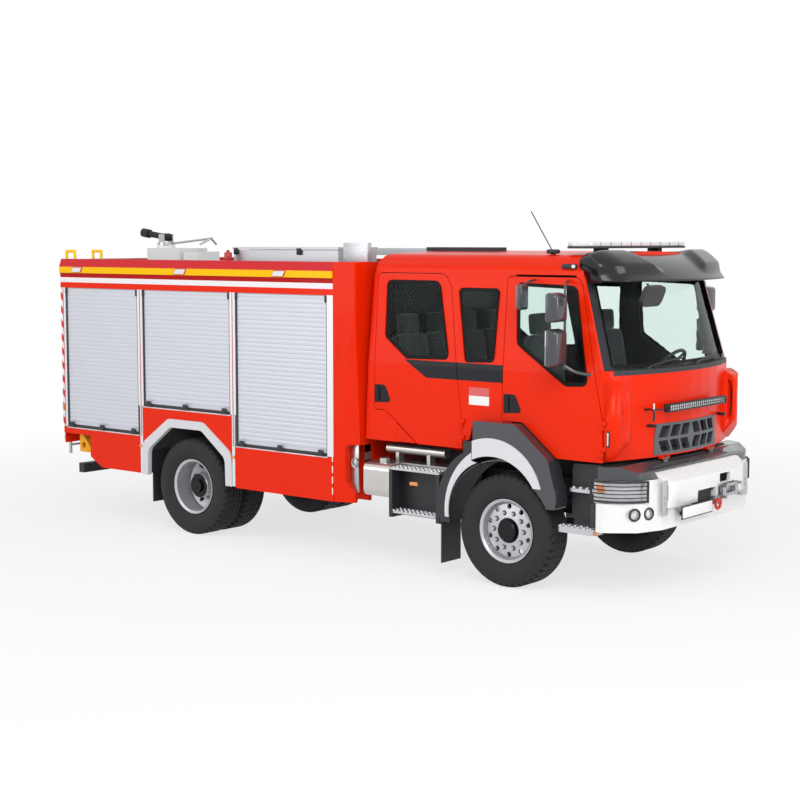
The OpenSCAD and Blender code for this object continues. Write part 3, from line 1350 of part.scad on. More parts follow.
module seat(x, y, w, lift, foot) {
    floor_z = cab_bottom + 5 + floor_t;
    z = floor_z + lift;
    block([x - 180, foot[0], floor_z], [x + 180, foot[1], z + 260]);
    prism_y(fillet([[x - 230, z + 259, 20], [x + 260, z + 259, 60], [x + 260, z + 385, 60],
        [x - 230, z + 370, 20]]), y - w / 2, y + w / 2);
    prism_y(fillet([[x - 240, z + 300, 20], [x - 110, z + 300, 20], [x - 230, z + 960, 50],
        [x - 345, z + 960, 50]]), y - w / 2, y + w / 2);
    prism_y(fillet([[x - 335, z + 955, 10], [x - 245, z + 955, 10], [x - 262, z + 1160, 40],
        [x - 360, z + 1160, 40]]), y - 140, y + 140);
}
module seats() {
    color("black") {
        for (s = [RIGHT, LEFT]) seat(x_fa + 240, s * 560, 500, 45, [s * 392, s * 612]);
        for (y = [-720, -240, 240, 720]) seat(cab_rear + 510, y, 465, 0, [y - 190, y + 190]);
    }
}
module cab_fittings() {
    color("black") {
        intersection() {
            nose_shell();
            cowl_room();
        }
        difference() {
            block([cab_rear + 80, -260, cab_top - 40], [cab_rear + 980, -120, cab_top + 32]);
            prism_x(fillet(cab_section()), cab_rear, cab_nose);
        }
        difference() {
            rod_z(x_fa + 280, -850, cab_top - 75, cab_top - 5, 22);
            prism_x(fillet(cab_section()), cab_rear, cab_nose);
        }
        bar([x_fa + 280, -850, cab_top - 10],
            [x_fa + 280 - antenna_l * 0.55, -850, cab_top - 10 + antenna_l * 0.83], 5);
        for (y = [-620, 120]) {
            foot = x_fa + nose_curve(y) - 26;
            tip = y + 480;
            bar([foot, y, 2060], [x_fa + screen_base - 3 - tip * tip / (2 * screen_r), tip, 2120], 7);
            rod_z(foot, y, nose_top - 5, nose_top + 16, 18);
        }
        difference() {
            bar([x_fa + 1110, -645, 2850], [x_fa + 1230, -688, 2735], 9);
            hood();
        }
        translate([x_fa + 1222, -690, 2705]) rotate([0, 22, 0])
            prism_x(fillet(rect(-165, -95, 165, 95, 60)), -20, 25);
    }
}
module cab_fenders() {
    outer = body_half - 8;
    color("black") both_sides() {
        difference() {
            prism_y(fillet(on_axle(inset(arch_cut(), 0.6))), -outer, -cab_half + 60);
            disc_y(trim_in_c, trim_in_r, -body_half - 20, -900);
            disc_y(hub_f, tyre_r + 35, -body_half - 20, -900);
            disc_y(hub_f, tyre_r + 115, -body_half + 100, -900);
            block([x_fa - 900, -body_half - 20, 0], [fender_seam, -900, arch_top + 40]);
        }
        sector(hub_f, guard_in, guard_in + guard_t, 30, seam_a - 2, -body_half + 13, -930);
    }
}
module fender_trims() {
    color("white") both_sides() difference() {
        disc_y(trim_out_c, trim_out_r, -body_half - 4, -body_half + 8);
        disc_y(trim_in_c, trim_in_r, -body_half - 10, -body_half + 20);
        block([x_fa - 900, -body_half - 10, 0], [fender_seam, -body_half + 20, 1700]);
        block([x_fa - 900, -body_half - 10, 0], [x_fa + 900, -body_half + 20, trim_end]);
    }
}

place() frame_rails();
place() front_axle();
place() rear_axle();
place() engine();
place() tanks();
place() step_boxes();
place() step_treads();
place() bumper();
place() bumper_cowl();
place() lamps();
place() winch();
place() mudguards();
place() arch_trims();
place() body_frame();
place() body_roof();
place() body_walls();
place() side_skirts();
place() roller_shutters();
place() ladders();
place() roof_boxes();
place() roof_locker();
place() wheel_chocks();
place() locker_lid();
place() cannon_swivel();
place() cannon_barrel();
place() cab_floor();
place() cab_back();
place() cab_roof();
place() cab_sides();
place() cab_front();
place() cab_glass();
place() grille();
place() cab_lamps();
place() visor();
place() dashboard();
place() seats();
place() cab_fittings();
place() cab_fenders();
place() fender_trims();
place() door_front_right();
place() glass_front_right();
place() mirror_right();
place() door_front_left();
place() glass_front_left();
place() mirror_left();
place() door_rear_right();
place() glass_rear_right();
place() door_rear_left();
place() glass_rear_left();
place() knuckle_right();
place() knuckle_left();
place() rim_front_right();
place() tyre_front_right();
place() rim_front_left();
place() tyre_front_left();
place() rim_rear_right();
place() tyres_rear_right();
place() rim_rear_left();
place() tyres_rear_left();
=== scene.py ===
"""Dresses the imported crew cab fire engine: finishes, fittings, tyres, seats, stage and camera."""

import math

import bmesh
import bpy
from bpy.props import FloatProperty, FloatVectorProperty, IntProperty, PointerProperty
from mathutils import Matrix, Vector


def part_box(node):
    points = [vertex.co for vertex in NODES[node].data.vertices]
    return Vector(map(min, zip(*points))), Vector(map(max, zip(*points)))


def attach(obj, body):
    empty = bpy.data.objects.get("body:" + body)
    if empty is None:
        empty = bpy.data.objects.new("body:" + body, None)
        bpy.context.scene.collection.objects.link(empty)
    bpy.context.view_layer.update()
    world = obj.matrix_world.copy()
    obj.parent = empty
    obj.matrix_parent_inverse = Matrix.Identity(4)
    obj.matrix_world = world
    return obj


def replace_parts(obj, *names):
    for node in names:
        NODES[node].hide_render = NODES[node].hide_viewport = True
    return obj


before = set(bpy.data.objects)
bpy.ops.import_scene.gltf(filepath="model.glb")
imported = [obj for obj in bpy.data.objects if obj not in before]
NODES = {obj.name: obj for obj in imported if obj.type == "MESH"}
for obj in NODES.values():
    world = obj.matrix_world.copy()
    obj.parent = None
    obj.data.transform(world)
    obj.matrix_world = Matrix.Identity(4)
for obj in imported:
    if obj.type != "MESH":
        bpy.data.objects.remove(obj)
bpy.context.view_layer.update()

bl_info = {
    "name": "Fire Engine Dressing",
    "version": (1, 0, 0),
    "blender": (4, 5, 0),
    "location": "View3D > Sidebar > Fire Engine",
    "description": "Finishes and fittings for a crew cab fire engine",
    "category": "Object",
}

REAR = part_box("tyres_rear_right")
REAR_AXLE = (REAR[0].x + REAR[1].x) / 2
RIGHT, LEFT = -1, 1
SIDES = ((RIGHT, "right"), (LEFT, "left"))
FINISH = {}

# Main lines of the CAD part, in millimetres from the rear axle, the centre plane and the ground
FRONT_AXLE = 4170
AXLE_HEIGHT = 525
POSTS = (-2078, -755, 695, 2070)
POST_HALF = 42
SHUTTER_TOP = 2650
SHUTTER_FEET = (1040, 1365, 1040)
# The body's right face, and the outside of a foil on it
FACE, FOIL = -1247, -1251


def linear(code, alpha=1.0):
    """An sRGB hex colour as linear red, green, blue and alpha."""
    parts = [int(code[i : i + 2], 16) / 255 for i in (0, 2, 4)]
    return (*[c / 12.92 if c <= 0.04045 else ((c + 0.055) / 1.055) ** 2.4 for c in parts], alpha)


def at(x, y, z):
    """A point given in millimetres from the rear axle, the centre plane and the ground."""
    return Vector((REAR_AXLE + x / 1000, y / 1000, z / 1000))


def tint(name, description, code):
    """A colour property, set to a hex colour."""
    return FloatVectorProperty(
        name=name, description=description, subtype="COLOR", size=4, min=0, max=1, default=linear(code)
    )


def length(name, description, default, low, high):
    """A length property, in metres."""
    return FloatProperty(
        name=name, description=description, subtype="DISTANCE", unit="LENGTH",
        default=default, min=low, max=high,
    )


class TruckColours(bpy.types.PropertyGroup):
    """Main colours of the fire engine."""

    red: tint("Red", "Bodywork paint", "ED2902")
    yellow: tint("Yellow", "Reflective roof stripe", "FFC400")
    white: tint("White", "Bumper and arch trims", "EDEDED")
    slats: tint("Slats", "Anodised shutter slats", "CFD1DA")
    backdrop: tint("Backdrop", "Floor and background", "FAFAFA")


class TruckSizes(bpy.types.PropertyGroup):
    """Sizes of the fittings that are added to the CAD parts."""

    seal_width: length("Seal width", "Black seal at a shutter's rear edge", 0.024, 0.005, 0.05)
    tread_steps: IntProperty(
        name="Tread steps", description="Tread blocks round a tyre, counted with their gaps",
        default=132, min=40, max=200,
    )
    tread_depth: length("Tread depth", "Depth of the tread grooves", 0.010, 0.004, 0.018)
    frit_width: length("Frit width", "Black border round the side windows", 0.034, 0.01, 0.06)
    lens: FloatProperty(
        name="Lens", description="Focal length of the camera in millimetres", default=70.70, min=20, max=200
    )


# Mesh building


def block(bm, low, high, bevel=0.0, segments=2, material=0):
    """A box between two corners in millimetres, with rounded edges."""
    low, high = at(*low), at(*high)
    spread = Matrix.Diagonal((*[abs(s) for s in high - low], 1))
    made = bmesh.ops.create_cube(bm, size=1.0, matrix=Matrix.Translation((low + high) / 2) @ spread)
    finish_part(bm, made["verts"], bevel, segments, material)
    return made["verts"]


def finish_part(bm, verts, bevel, segments, material):
    """Rounds the edges of the part that the vertices belong to and sets its material."""
    faces = list({f for v in verts for f in v.link_faces})
    for face in faces:
        face.material_index = material
    if bevel:
        edges = list({e for f in faces for e in f.edges if e.calc_face_angle(0) > 0.5})
        bmesh.ops.bevel(
            bm, geom=edges, offset=bevel, offset_type="OFFSET", affect="EDGES", segments=segments,
            profile=0.5, material=-1,
        )


def slab(bm, outline, depth, bevel=0.0, segments=2, material=0):
    """A plate from its outline's points, extruded by a vector."""
    face = bm.faces.new([bm.verts.new(p) for p in outline])
    made = bmesh.ops.extrude_face_region(bm, geom=[face])
    verts = [v for v in made["geom"] if isinstance(v, bmesh.types.BMVert)]
    bmesh.ops.translate(bm, verts=verts, vec=depth)
    whole = verts + list(face.verts)
    bmesh.ops.recalc_face_normals(bm, faces=list({f for v in whole for f in v.link_faces}))
    finish_part(bm, whole, bevel, segments, material)


def rod(bm, a, b, radius, steps=20, bevel=0.0, material=0):
    """A round bar between two points."""
    way = b - a
    turn = way.to_track_quat("Z", "Y").to_matrix().to_4x4()
    made = bmesh.ops.create_cone(
        bm, cap_ends=True, segments=steps, radius1=radius, radius2=radius,
        depth=way.length, matrix=Matrix.Translation((a + b) / 2) @ turn,
    )
    finish_part(bm, made["verts"], bevel, 2, material)


def pipe(bm, points, radius):
    """A bent round bar through the points, swept along a curve."""
    curve = bpy.data.curves.new("pipe_line", "CURVE")
    curve.dimensions = "3D"
    curve.bevel_depth = radius
    curve.bevel_resolution = 2
    curve.use_fill_caps = True
    curve.resolution_u = 4
    line = curve.splines.new("BEZIER")
    line.bezier_points.add(len(points) - 1)
    for spot, p in zip(line.bezier_points, points):
        spot.co = p
        spot.handle_left_type = spot.handle_right_type = "AUTO"
    holder = bpy.data.objects.new("pipe_line", curve)
    mesh = bpy.data.meshes.new_from_object(holder)
    mesh.materials.clear()
    start = len(bm.faces)
    bm.from_mesh(mesh)
    bm.faces.ensure_lookup_table()
    for face in bm.faces[start:]:
        face.material_index = 0
    bpy.data.objects.remove(holder)
    bpy.data.curves.remove(curve)
    bpy.data.meshes.remove(mesh)


def lathe(bm, profile, centre, axis, steps, material=0, closed=False):
    """Spins a profile of (radius, distance along the axis) round an axis."""
    axis = Vector(axis).normalized()
    out = axis.orthogonal().normalized()
    verts = [bm.verts.new(centre + out * r + axis * a) for r, a in profile]
    edges = [bm.edges.new(pair) for pair in zip(verts, verts[1:])]
    if closed:
        edges.append(bm.edges.new((verts[-1], verts[0])))
    start = len(bm.faces)
    bmesh.ops.spin(
        bm, geom=verts + edges, cent=centre, axis=axis, angle=2 * math.pi, steps=steps, use_merge=True
    )
    bm.faces.ensure_lookup_table()
    made = bm.faces[start:]
    for face in made:
        face.material_index = material
    bmesh.ops.remove_doubles(bm, verts=list({v for f in made for v in f.verts}), dist=1e-6)
    return made


def ring(bm, centre, axis, radius, tube, steps=28, material=0):
    """A round ring with a round section."""
    around = [2 * math.pi * k / 8 for k in range(8)]
    section = [(radius + tube * math.cos(a), tube * math.sin(a)) for a in around]
    lathe(bm, section, centre, axis, steps, material, closed=True)


def studs(bm, spots, radius, height):
    """Raised round studs with a sunk middle, as on pressed step plates."""
    sunk = height * 0.2
    rim = [(radius * 0.7, height), (radius * 0.9, height), (radius, 0.0)]
    profile = [(0.0, sunk), (radius * 0.55, sunk), *rim]
    for spot in spots:
        lathe(bm, profile, spot, (0, 0, 1), 12)


def joined(node):
    """A copy of a CAD part's mesh with its loose triangles joined."""
    bm = bmesh.new()
    bm.from_mesh(NODES[node].data)
    bmesh.ops.remove_doubles(bm, verts=bm.verts[:], dist=1e-5)
    return bm


def mirrored(bm):
    """Adds the other side of everything built so far, across the centre plane."""
    made = bmesh.ops.duplicate(bm, geom=bm.verts[:] + bm.edges[:] + bm.faces[:])
    verts = [v for v in made["geom"] if isinstance(v, bmesh.types.BMVert)]
    faces = [f for f in made["geom"] if isinstance(f, bmesh.types.BMFace)]
    bmesh.ops.scale(bm, vec=(1, -1, 1), verts=verts)
    bmesh.ops.reverse_faces(bm, faces=faces)


def piece(name, bm, body, finishes, recalc=True, angle=35):
    """Makes an object of the bmesh, with its finishes, that rides on a CAD body."""
    if recalc:
        bmesh.ops.recalc_face_normals(bm, faces=bm.faces[:])
    mesh = bpy.data.meshes.new(name)
    bm.to_mesh(mesh)
    bm.free()
    for f in finishes:
        mesh.materials.append(FINISH[f])
    mesh.polygons.foreach_set("use_smooth", [True] * len(mesh.polygons))
    mesh.set_sharp_from_angle(angle=math.radians(angle))
    made = bpy.data.objects.new(name, mesh)
    bpy.context.scene.collection.objects.link(made)
    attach(made, body)
    return made


# Finishes


def add(tree, kind, settings=None, **links):
    """Adds a node with its settings, or its operation alone. Inputs are named, or numbered as i0, i1."""
    made = tree.nodes.new("ShaderNode" + kind)
    if isinstance(settings, str):
        settings = {"operation": settings}
    for key, value in (settings or {}).items():
        setattr(made, key, value)
    for key, value in links.items():
        socket = made.inputs[int(key[1:])] if key[1:].isdigit() else made.inputs[key.replace("_", " ")]
        if isinstance(value, bpy.types.NodeSocket):
            tree.links.new(value, socket)
        else:
            socket.default_value = value
    return made


def surface(
    name, colour, rough, metal=0.0, coat=0.0, grain=3.0, depth=0.1, mottle=0.06, patch=250.0, layers=(),
    uneven=0.08, **sockets,
):
    """A finish whose colour drifts over patches, with a bump of grains and colours on masks. Sizes in mm."""
    made = bpy.data.materials.new(name)
    made.use_nodes = True
    tree = made.node_tree
    shader = tree.nodes["Principled BSDF"]
    base = linear(colour) if isinstance(colour, str) else tuple(colour)
    spot = add(tree, "TexCoord").outputs["Object"]
    drift = add(tree, "TexNoise", Vector=spot, Scale=1000 / patch, Detail=3.0)
    dark = tuple(c * (1 - mottle) for c in base[:3]) + (1.0,)
    shade = add(tree, "Mix", {"data_type": "RGBA"}, i0=drift.outputs["Fac"], i6=dark, i7=base).outputs[2]
    place = add(tree, "SeparateXYZ", Vector=spot)
    for mask, over in layers:
        over = linear(over) if isinstance(over, str) else tuple(over)
        shade = add(tree, "Mix", {"data_type": "RGBA"}, i0=mask(tree, place), i6=shade, i7=over).outputs[2]
    tree.links.new(shade, shader.inputs["Base Color"])
    grains = add(tree, "TexNoise", Vector=spot, Scale=1000 / grain, Detail=2.0)
    bump = add(tree, "Bump", Strength=depth, Distance=0.001, Height=grains.outputs["Fac"])
    tree.links.new(bump.outputs["Normal"], shader.inputs["Normal"])
    low, high = max(0.02, rough - uneven), rough + uneven
    spread = add(tree, "MapRange", Value=drift.outputs["Fac"], To_Min=low, To_Max=high)
    tree.links.new(spread.outputs["Result"], shader.inputs["Roughness"])
    shader.inputs["Metallic"].default_value = metal
    shader.inputs["Coat Weight"].default_value = coat
    shader.inputs["Coat Roughness"].default_value = 0.06
    for key, value in sockets.items():
        shader.inputs[key.replace("_", " ")].default_value = value
    FINISH[name] = made


def band(axis, middle, half):
    """A mask that is 1 where a coordinate is within half of the middle, in metres of the row frame."""

    def made(tree, place):
        where = place.outputs[axis]
        return add(tree, "Math", "COMPARE", i0=where, i1=middle, i2=half).outputs[0]

    return made


def all_of(*masks):
    """A mask that is 1 where every one of the masks is."""

    def made(tree, place):
        total = masks[0](tree, place)
        for mask in masks[1:]:
            total = add(tree, "Math", "MULTIPLY", i0=total, i1=mask(tree, place)).outputs[0]
        return total

    return made


def beyond(slope_x, slope_y, slope_z, limit):
    """A mask that is 1 where a weighted sum of x, the size of y, and z is over a limit."""
    slopes = (slope_x, slope_y, slope_z)

    def made(tree, place):
        side = add(tree, "Math", "ABSOLUTE", i0=place.outputs["Y"])
        flat = add(tree, "CombineXYZ", X=place.outputs["X"], Y=side.outputs[0], Z=place.outputs["Z"])
        total = add(tree, "VectorMath", "DOT_PRODUCT", i0=flat.outputs[0], i1=slopes)
        return add(tree, "Math", "GREATER_THAN", i0=total.outputs["Value"], i1=limit).outputs[0]

    return made


def near_axle(x, radius):
    """A mask that is 1 within a radius of a wheel's axis."""
    axle = (x, 0.0, AXLE_HEIGHT / 1000)

    def made(tree, place):
        flat = add(tree, "CombineXYZ", X=place.outputs["X"], Y=0.0, Z=place.outputs["Z"])
        far = add(tree, "VectorMath", "DISTANCE", i0=flat.outputs[0], i1=axle)
        return add(tree, "Math", "LESS_THAN", i0=far.outputs["Value"], i1=radius).outputs[0]

    return made


def facing(operation, limit):
    """A mask that compares how a face looks, from -1 for down to 1 for up, with a limit."""

    def made(tree, place):
        normal = add(tree, "NewGeometry").outputs["Normal"]
        up = add(tree, "SeparateXYZ", Vector=normal).outputs["Z"]
        return add(tree, "Math", operation, i0=up, i1=limit).outputs[0]

    return made


def slanted(period, share):
    """A mask of diagonal stripes across the vehicle's length and height."""

    def made(tree, place):
        total = add(tree, "Math", "ADD", i0=place.outputs["X"], i1=place.outputs["Z"])
        part = add(tree, "Math", "WRAP", i0=total.outputs[0], i1=period, i2=0.0)
        return add(tree, "Math", "LESS_THAN", i0=part.outputs[0], i1=period * share).outputs[0]

    return made


WORN = {
    "fire_red_paint": "body_walls side_skirts",
    "nose_paint": "cab_front",
    "roof_paint": "cab_roof",
    "back_paint": "cab_back",
    "door_paint": "door_rear_right door_rear_left cab_sides",
    "front_door_paint": "door_front_right door_front_left",
    "fascia_foils": "body_roof",
    "anodised_slats": "roller_shutters",
    "anodised_posts": "body_frame",
    "mill_aluminium": "ladders roof_locker locker_lid step_treads",
    "brushed_stainless": "tanks",
    "white_gelcoat": "bumper roof_boxes",
    "pale_grey_foil": "arch_trims fender_trims",
    "black_polypropylene": "step_boxes mudguards cab_fittings mirror_right mirror_left",
    "graphite_moulding": "cab_fenders",
    "grey_moulding": "bumper_cowl grille",
    "gloss_black_abs": "visor",
    "wheel_enamel_front": "rim_front_right rim_front_left",
    "wheel_enamel_rear": "rim_rear_right rim_rear_left",
    "tyre_rubber": "tyre_front_right tyre_front_left tyres_rear_right tyres_rear_left",
    "chassis_enamel": "frame_rails knuckle_right knuckle_left",
    "cast_iron": "front_axle rear_axle engine cannon_barrel",
    "bright_steel": "winch cannon_swivel",
    "chock_yellow": "wheel_chocks",
    "clear_lens": "lamps cab_lamps",
    "dashboard_vinyl": "dashboard",
    "cab_floor_rubber": "cab_floor",
    "seat_cloth": "seats",
    "screen_glass": "cab_glass",
    "tinted_glass": "glass_front_right glass_front_left glass_rear_right glass_rear_left",
}


class TRUCK_OT_finishes(bpy.types.Operator):
    """Makes the finishes and puts them on the CAD parts"""

    bl_idname = "truck.finishes"
    bl_label = "Finishes"

    def execute(self, context):
        tints = context.scene.truck_colours
        self.paints(tints)
        self.metals(tints)
        self.mouldings(tints)
        self.foils_and_lenses()
        self.cab_inside()
        for name, nodes in WORN.items():
            for node in nodes.split():
                NODES[node].data.materials.clear()
                NODES[node].data.materials.append(FINISH[name])
        return {"FINISHED"}

    def paints(self, tints):
        """Painted sheet. Masks, in metres, find the inner faces of the cab's shell: the dark lining colour
        there is also painted shade inside the cab, and faces under the roof that look down are painted the
        same shade.
        """
        # A dark colour for the cab's inner faces: its lining, and with it painted shade inside the cab
        black, lining_and_shade = "26272B", "2B2D31"
        ahead = beyond(1, 0, 0, at(2560, 0, 0).x)
        low_inside = all_of(beyond(0, -1, 0, -1.106), band("Z", 1.85, 0.15), ahead)
        high_inside = all_of(beyond(0, -1, -0.0617, -1.2294), band("Z", 2.44, 0.44), ahead)
        roof_inside = all_of(beyond(0, -1, 0, -0.90), band("Z", 2.90, 0.13))
        back_inside = all_of(beyond(1, 0, -0.0488, at(2450, 0, 0).x - 0.0488 * 1.24), beyond(0, -1, 0, -1.03))
        band_end = beyond(0.164, 0, 0.275, 0.164 * at(2915, 0, 0).x + 0.275 * 2.05)
        low_band = all_of(band("Z", 1.968, 0.082), band_end)
        handle = all_of(beyond(0, 1, 0, 1.1207), band("Z", 1.70, 0.10))
        lined_and_shaded = [(low_inside, lining_and_shade), (high_inside, lining_and_shade)]
        coats = {
            "fire_red_paint": (),
            "nose_paint": (),
            # Faces of the roof that look down take the lining colour as painted shade, the overhang's
            # underside too
            "roof_paint": [(roof_inside, lining_and_shade), (facing("LESS_THAN", -0.5), lining_and_shade)],
            "back_paint": [(back_inside, lining_and_shade)],
            "door_paint": [(low_band, black), (handle, black), *lined_and_shaded],
            "front_door_paint": [(handle, black), *lined_and_shaded],
            # Reflective foil bands over the same paint, by height
            "fascia_foils": [
                (band("Z", 2.740, 0.028), "F1EFF2"), (band("Z", 2.7935, 0.0255), "B30806"),
                (band("Z", 2.854, 0.035), tints.yellow), (band("Z", 2.9365, 0.0475), "D22D33"),
                (all_of(facing("GREATER_THAN", 0.9), band("Y", 0, 1.19)), "A9ABB0"),
            ],
        }
        # Two-pack vehicle paint, sprayed: even colour, faint orange peel, a clear gloss coat
        for name, layers in coats.items():
            surface(
                name, tints.red, 0.30, coat=0.08, grain=5, depth=0.02, mottle=0.05, patch=600, layers=layers,
                Specular_IOR_Level=0.1,
            )

    def metals(self, tints):
        """Bare, anodised and enamelled metal."""
        # Extrusions, clear anodised: pale and satin, with faint lines
        anodised = dict(grain=2, depth=0.03, mottle=0.03, patch=400)
        surface("anodised_slats", tints.slats, 0.42, metal=0.25, **anodised)
        surface("anodised_posts", "E6E6EA", 0.40, metal=0.35, **anodised)
        # Mill finish sheet of lockers and ladders: grey with a blurred shine; the grab hoops are yellow
        hoops = [(all_of(beyond(0, 0, 1, 2.985), beyond(-1, 0, 0, 3.47)), tints.yellow)]
        mill = dict(metal=0.75, grain=1.5, depth=0.06, mottle=0.08)
        surface("mill_aluminium", "C4C6CA", 0.38, layers=hoops, **mill)
        # Brushed stainless of the tanks: brighter, with fine scratches
        surface("brushed_stainless", "C9C7C4", 0.32, metal=0.9, grain=1.2, depth=0.08, mottle=0.10)
        # Silver wheel enamel: bright but not mirror-like, with dark hub covers
        for name, x, radius in (
            ("wheel_enamel_front", at(FRONT_AXLE, 0, 0).x, 0.118), ("wheel_enamel_rear", REAR_AXLE, 0.128)
        ):
            cover = [(near_axle(x, radius), "1B1B1E")]
            surface(name, "C2C3C7", 0.34, metal=0.65, grain=3, depth=0.04, mottle=0.06, layers=cover)
        # Chassis enamel and cast iron under the body: dark, dusty and rough
        surface("chassis_enamel", "17181A", 0.50, grain=3, depth=0.15, mottle=0.20)
        surface("cast_iron", "2C2C2E", 0.60, metal=0.5, grain=4, depth=0.30, mottle=0.25)
        # Plated steel of the winch: a clean, sharp shine
        surface("bright_steel", "B9BABD", 0.28, metal=0.95, grain=2, depth=0.05, mottle=0.08)
        # Silvered glass: a near perfect mirror
        surface("mirror_silver", "D8DCE0", 0.04, metal=1.0, grain=50, depth=0.0, mottle=0.02, uneven=0.0)

    def mouldings(self, tints):
        """Moulded plastic and rubber."""
        # Polyester gel coat: white with a soft gloss
        surface("white_gelcoat", tints.white, 0.35, coat=0.25, grain=4, depth=0.03, mottle=0.02)
        # Grained polypropylene: the matt black trim
        surface("black_polypropylene", "26272B", 0.55, grain=1.4, depth=0.20, mottle=0.15)
        # The same moulding painted satin graphite on the arches, and grey on the grille
        surface("graphite_moulding", "3A3B40", 0.26, grain=2, depth=0.03, mottle=0.10, coat=0.6)
        surface("grey_moulding", "5C5E63", 0.45, metal=0.2, grain=1.5, depth=0.10, mottle=0.08)
        # Gloss black ABS of the visor: smooth, with sharp reflections
        surface(
            "gloss_black_abs", "121317", 0.22, coat=0.25, grain=6, depth=0.01, mottle=0.10, uneven=0.03,
            Specular_IOR_Level=0.3,
        )
        # Tyre rubber: matt, dusty, finely pitted
        surface("tyre_rubber", "1D1E20", 0.78, grain=4, depth=0.15, mottle=0.25, patch=120)
        # Wheel chocks of coloured polyethylene: dull and a little rough
        surface("chock_yellow", "F2A900", 0.50, grain=2, depth=0.10, mottle=0.10)

    def foils_and_lenses(self):
        """Foils, blank plates, lamp lenses and glass."""
        # Stuck foils and blank plates: flat, even colours with a soft sheen
        foil = dict(grain=4, depth=0.02, mottle=0.02)
        surface("pale_grey_foil", "D9DADF", 0.40, **foil)
        surface("bare_plate", "F2F2F2", 0.40, **foil)
        surface("pink_foil", "D9605F", 0.45, **foil)
        surface("signal_red", "C40D10", 0.35, coat=0.3, grain=4, depth=0.03)
        surface("chevron_foil", "D01217", 0.40, grain=4, depth=0.02, layers=[(slanted(0.16, 0.5), "EFEFF2")])
        # Lamp lenses: clear polycarbonate over bright reflectors, amber and red for the signals
        surface("clear_lens", "EEF1F4", 0.12, coat=1.0, grain=12, depth=0.35, mottle=0.25, patch=20)
        for name, code in (("amber_lens", "F08A00"), ("red_lens", "C00A0A")):
            surface(name, code, 0.15, coat=1.0, grain=8, depth=0.2, mottle=0.15, patch=15)
        # Laminated windscreen and tinted toughened side glass: clear with a green cast
        glass = dict(grain=50, depth=0.0, mottle=0.0, uneven=0.0, Transmission_Weight=1.0, IOR=1.1)
        for name, code in (("screen_glass", "EFF8F5"), ("tinted_glass", "E6F2EE")):
            surface(name, code, 0.02, **glass)
        # Black enamel fired on the edge of the glass: nearly no gloss of its own
        enamel = dict(grain=6, depth=0.01, mottle=0.05, Specular_IOR_Level=0.1)
        surface("fired_black_border", "101113", 0.35, **enamel)

    def cab_inside(self):
        """What shows through the windows: grained vinyl, ribbed rubber and cloth."""
        surface("dashboard_vinyl", "33353A", 0.60, grain=1.5, depth=0.25, mottle=0.12)
        surface("cab_floor_rubber", "2A2B2D", 0.70, grain=2, depth=0.25, mottle=0.15)
        # Woven seat cloth, drawn at 4 mm threads so that it shows
        surface("seat_cloth", "2E3238", 0.85, grain=4, depth=0.4, mottle=0.2, patch=30, Sheen_Weight=0.3)


# Half of a tyre's section, from the bead to the tread: radius and distance from the middle, in metres
TYRE_HALF = [
    (0.2876, 0.101), (0.302, 0.107), (0.312, 0.118), (0.318, 0.121), (0.336, 0.131), (0.340, 0.134),
    (0.372, 0.143), (0.378, 0.1462), (0.412, 0.149), (0.440, 0.1485), (0.444, 0.1470), (0.470, 0.1455),
    (0.476, 0.142), (0.496, 0.137), (0.512, 0.128), (0.5215, 0.117),
]
TYRE_RADIUS = 0.525
TREAD_TOP, TREAD_HALF = 0.5245, 0.106
GROOVES = (-0.072, -0.024, 0.024, 0.072)
# From the outer rear tyre's middle to the inner one's, in millimetres
TWIN_GAP = -336


class TRUCK_OT_tyres(bpy.types.Operator):
    """Makes the tyres with their ribs, grooves and shoulder blocks"""

    bl_idname = "truck.tyres"
    bl_label = "Tyres"

    def execute(self, context):
        sizes = context.scene.truck_sizes
        for side, word in SIDES:
            for node, body, x, outer, offsets in (
                ("tyre_front_", "wheel_front_", FRONT_AXLE, 1050, (0,)),
                ("tyres_rear_", "wheel_rear_", 0, 1065, (0, TWIN_GAP)),
            ):
                bm = bmesh.new()
                for offset in offsets:
                    self.tyre(bm, at(x, side * (outer + offset), AXLE_HEIGHT), side, sizes)
                made = piece(node + word + "_treaded", bm, body + word, ["tyre_rubber"], angle=30)
                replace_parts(made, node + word)
        return {"FINISHED"}

    def tyre(self, bm, centre, side, sizes):
        """One tyre: spun from its section, then the shoulder blocks are parted by sunk faces."""
        deep = TYRE_RADIUS - sizes.tread_depth
        ribs = []
        for a in GROOVES:
            ribs += [(TREAD_TOP, a - 0.0065), (deep, a - 0.004), (deep, a + 0.004), (TREAD_TOP, a + 0.0065)]
        tread = [(TREAD_TOP, -TREAD_HALF)] + ribs + [(TREAD_TOP, TREAD_HALF)]
        section = [(r, -a) for r, a in TYRE_HALF] + tread + TYRE_HALF[::-1]
        faces = lathe(bm, section, centre, (0, side, 0), sizes.tread_steps, closed=True)
        bmesh.ops.recalc_face_normals(bm, faces=faces)
        turn = 2 * math.pi / sizes.tread_steps
        gaps, slits = [], []
        for face in faces:
            spot = face.calc_center_median() - centre
            radius, along = math.hypot(spot.x, spot.z), abs(spot.y)
            step = int(math.floor(math.atan2(spot.z, spot.x) / turn + 0.25 * (spot.y > 0))) % 3
            if 0.104 < along < 0.1335 and radius > 0.50 and step == 0:
                gaps.append(face)
            elif radius > 0.52 and along < 0.104 and step == 1:
                slits.append(face)
        bmesh.ops.inset_individual(bm, faces=gaps, thickness=0.0012, depth=-0.007)
        bmesh.ops.inset_individual(bm, faces=slits, thickness=0.0075, depth=-0.004)


# The camera that was fitted to the photograph
EYE_SPOT = (12503.6, -12805.5, 3191.3)
EYE_YAW, EYE_PITCH = math.radians(39.516), math.radians(5.805)
EYE_SENSOR = 36
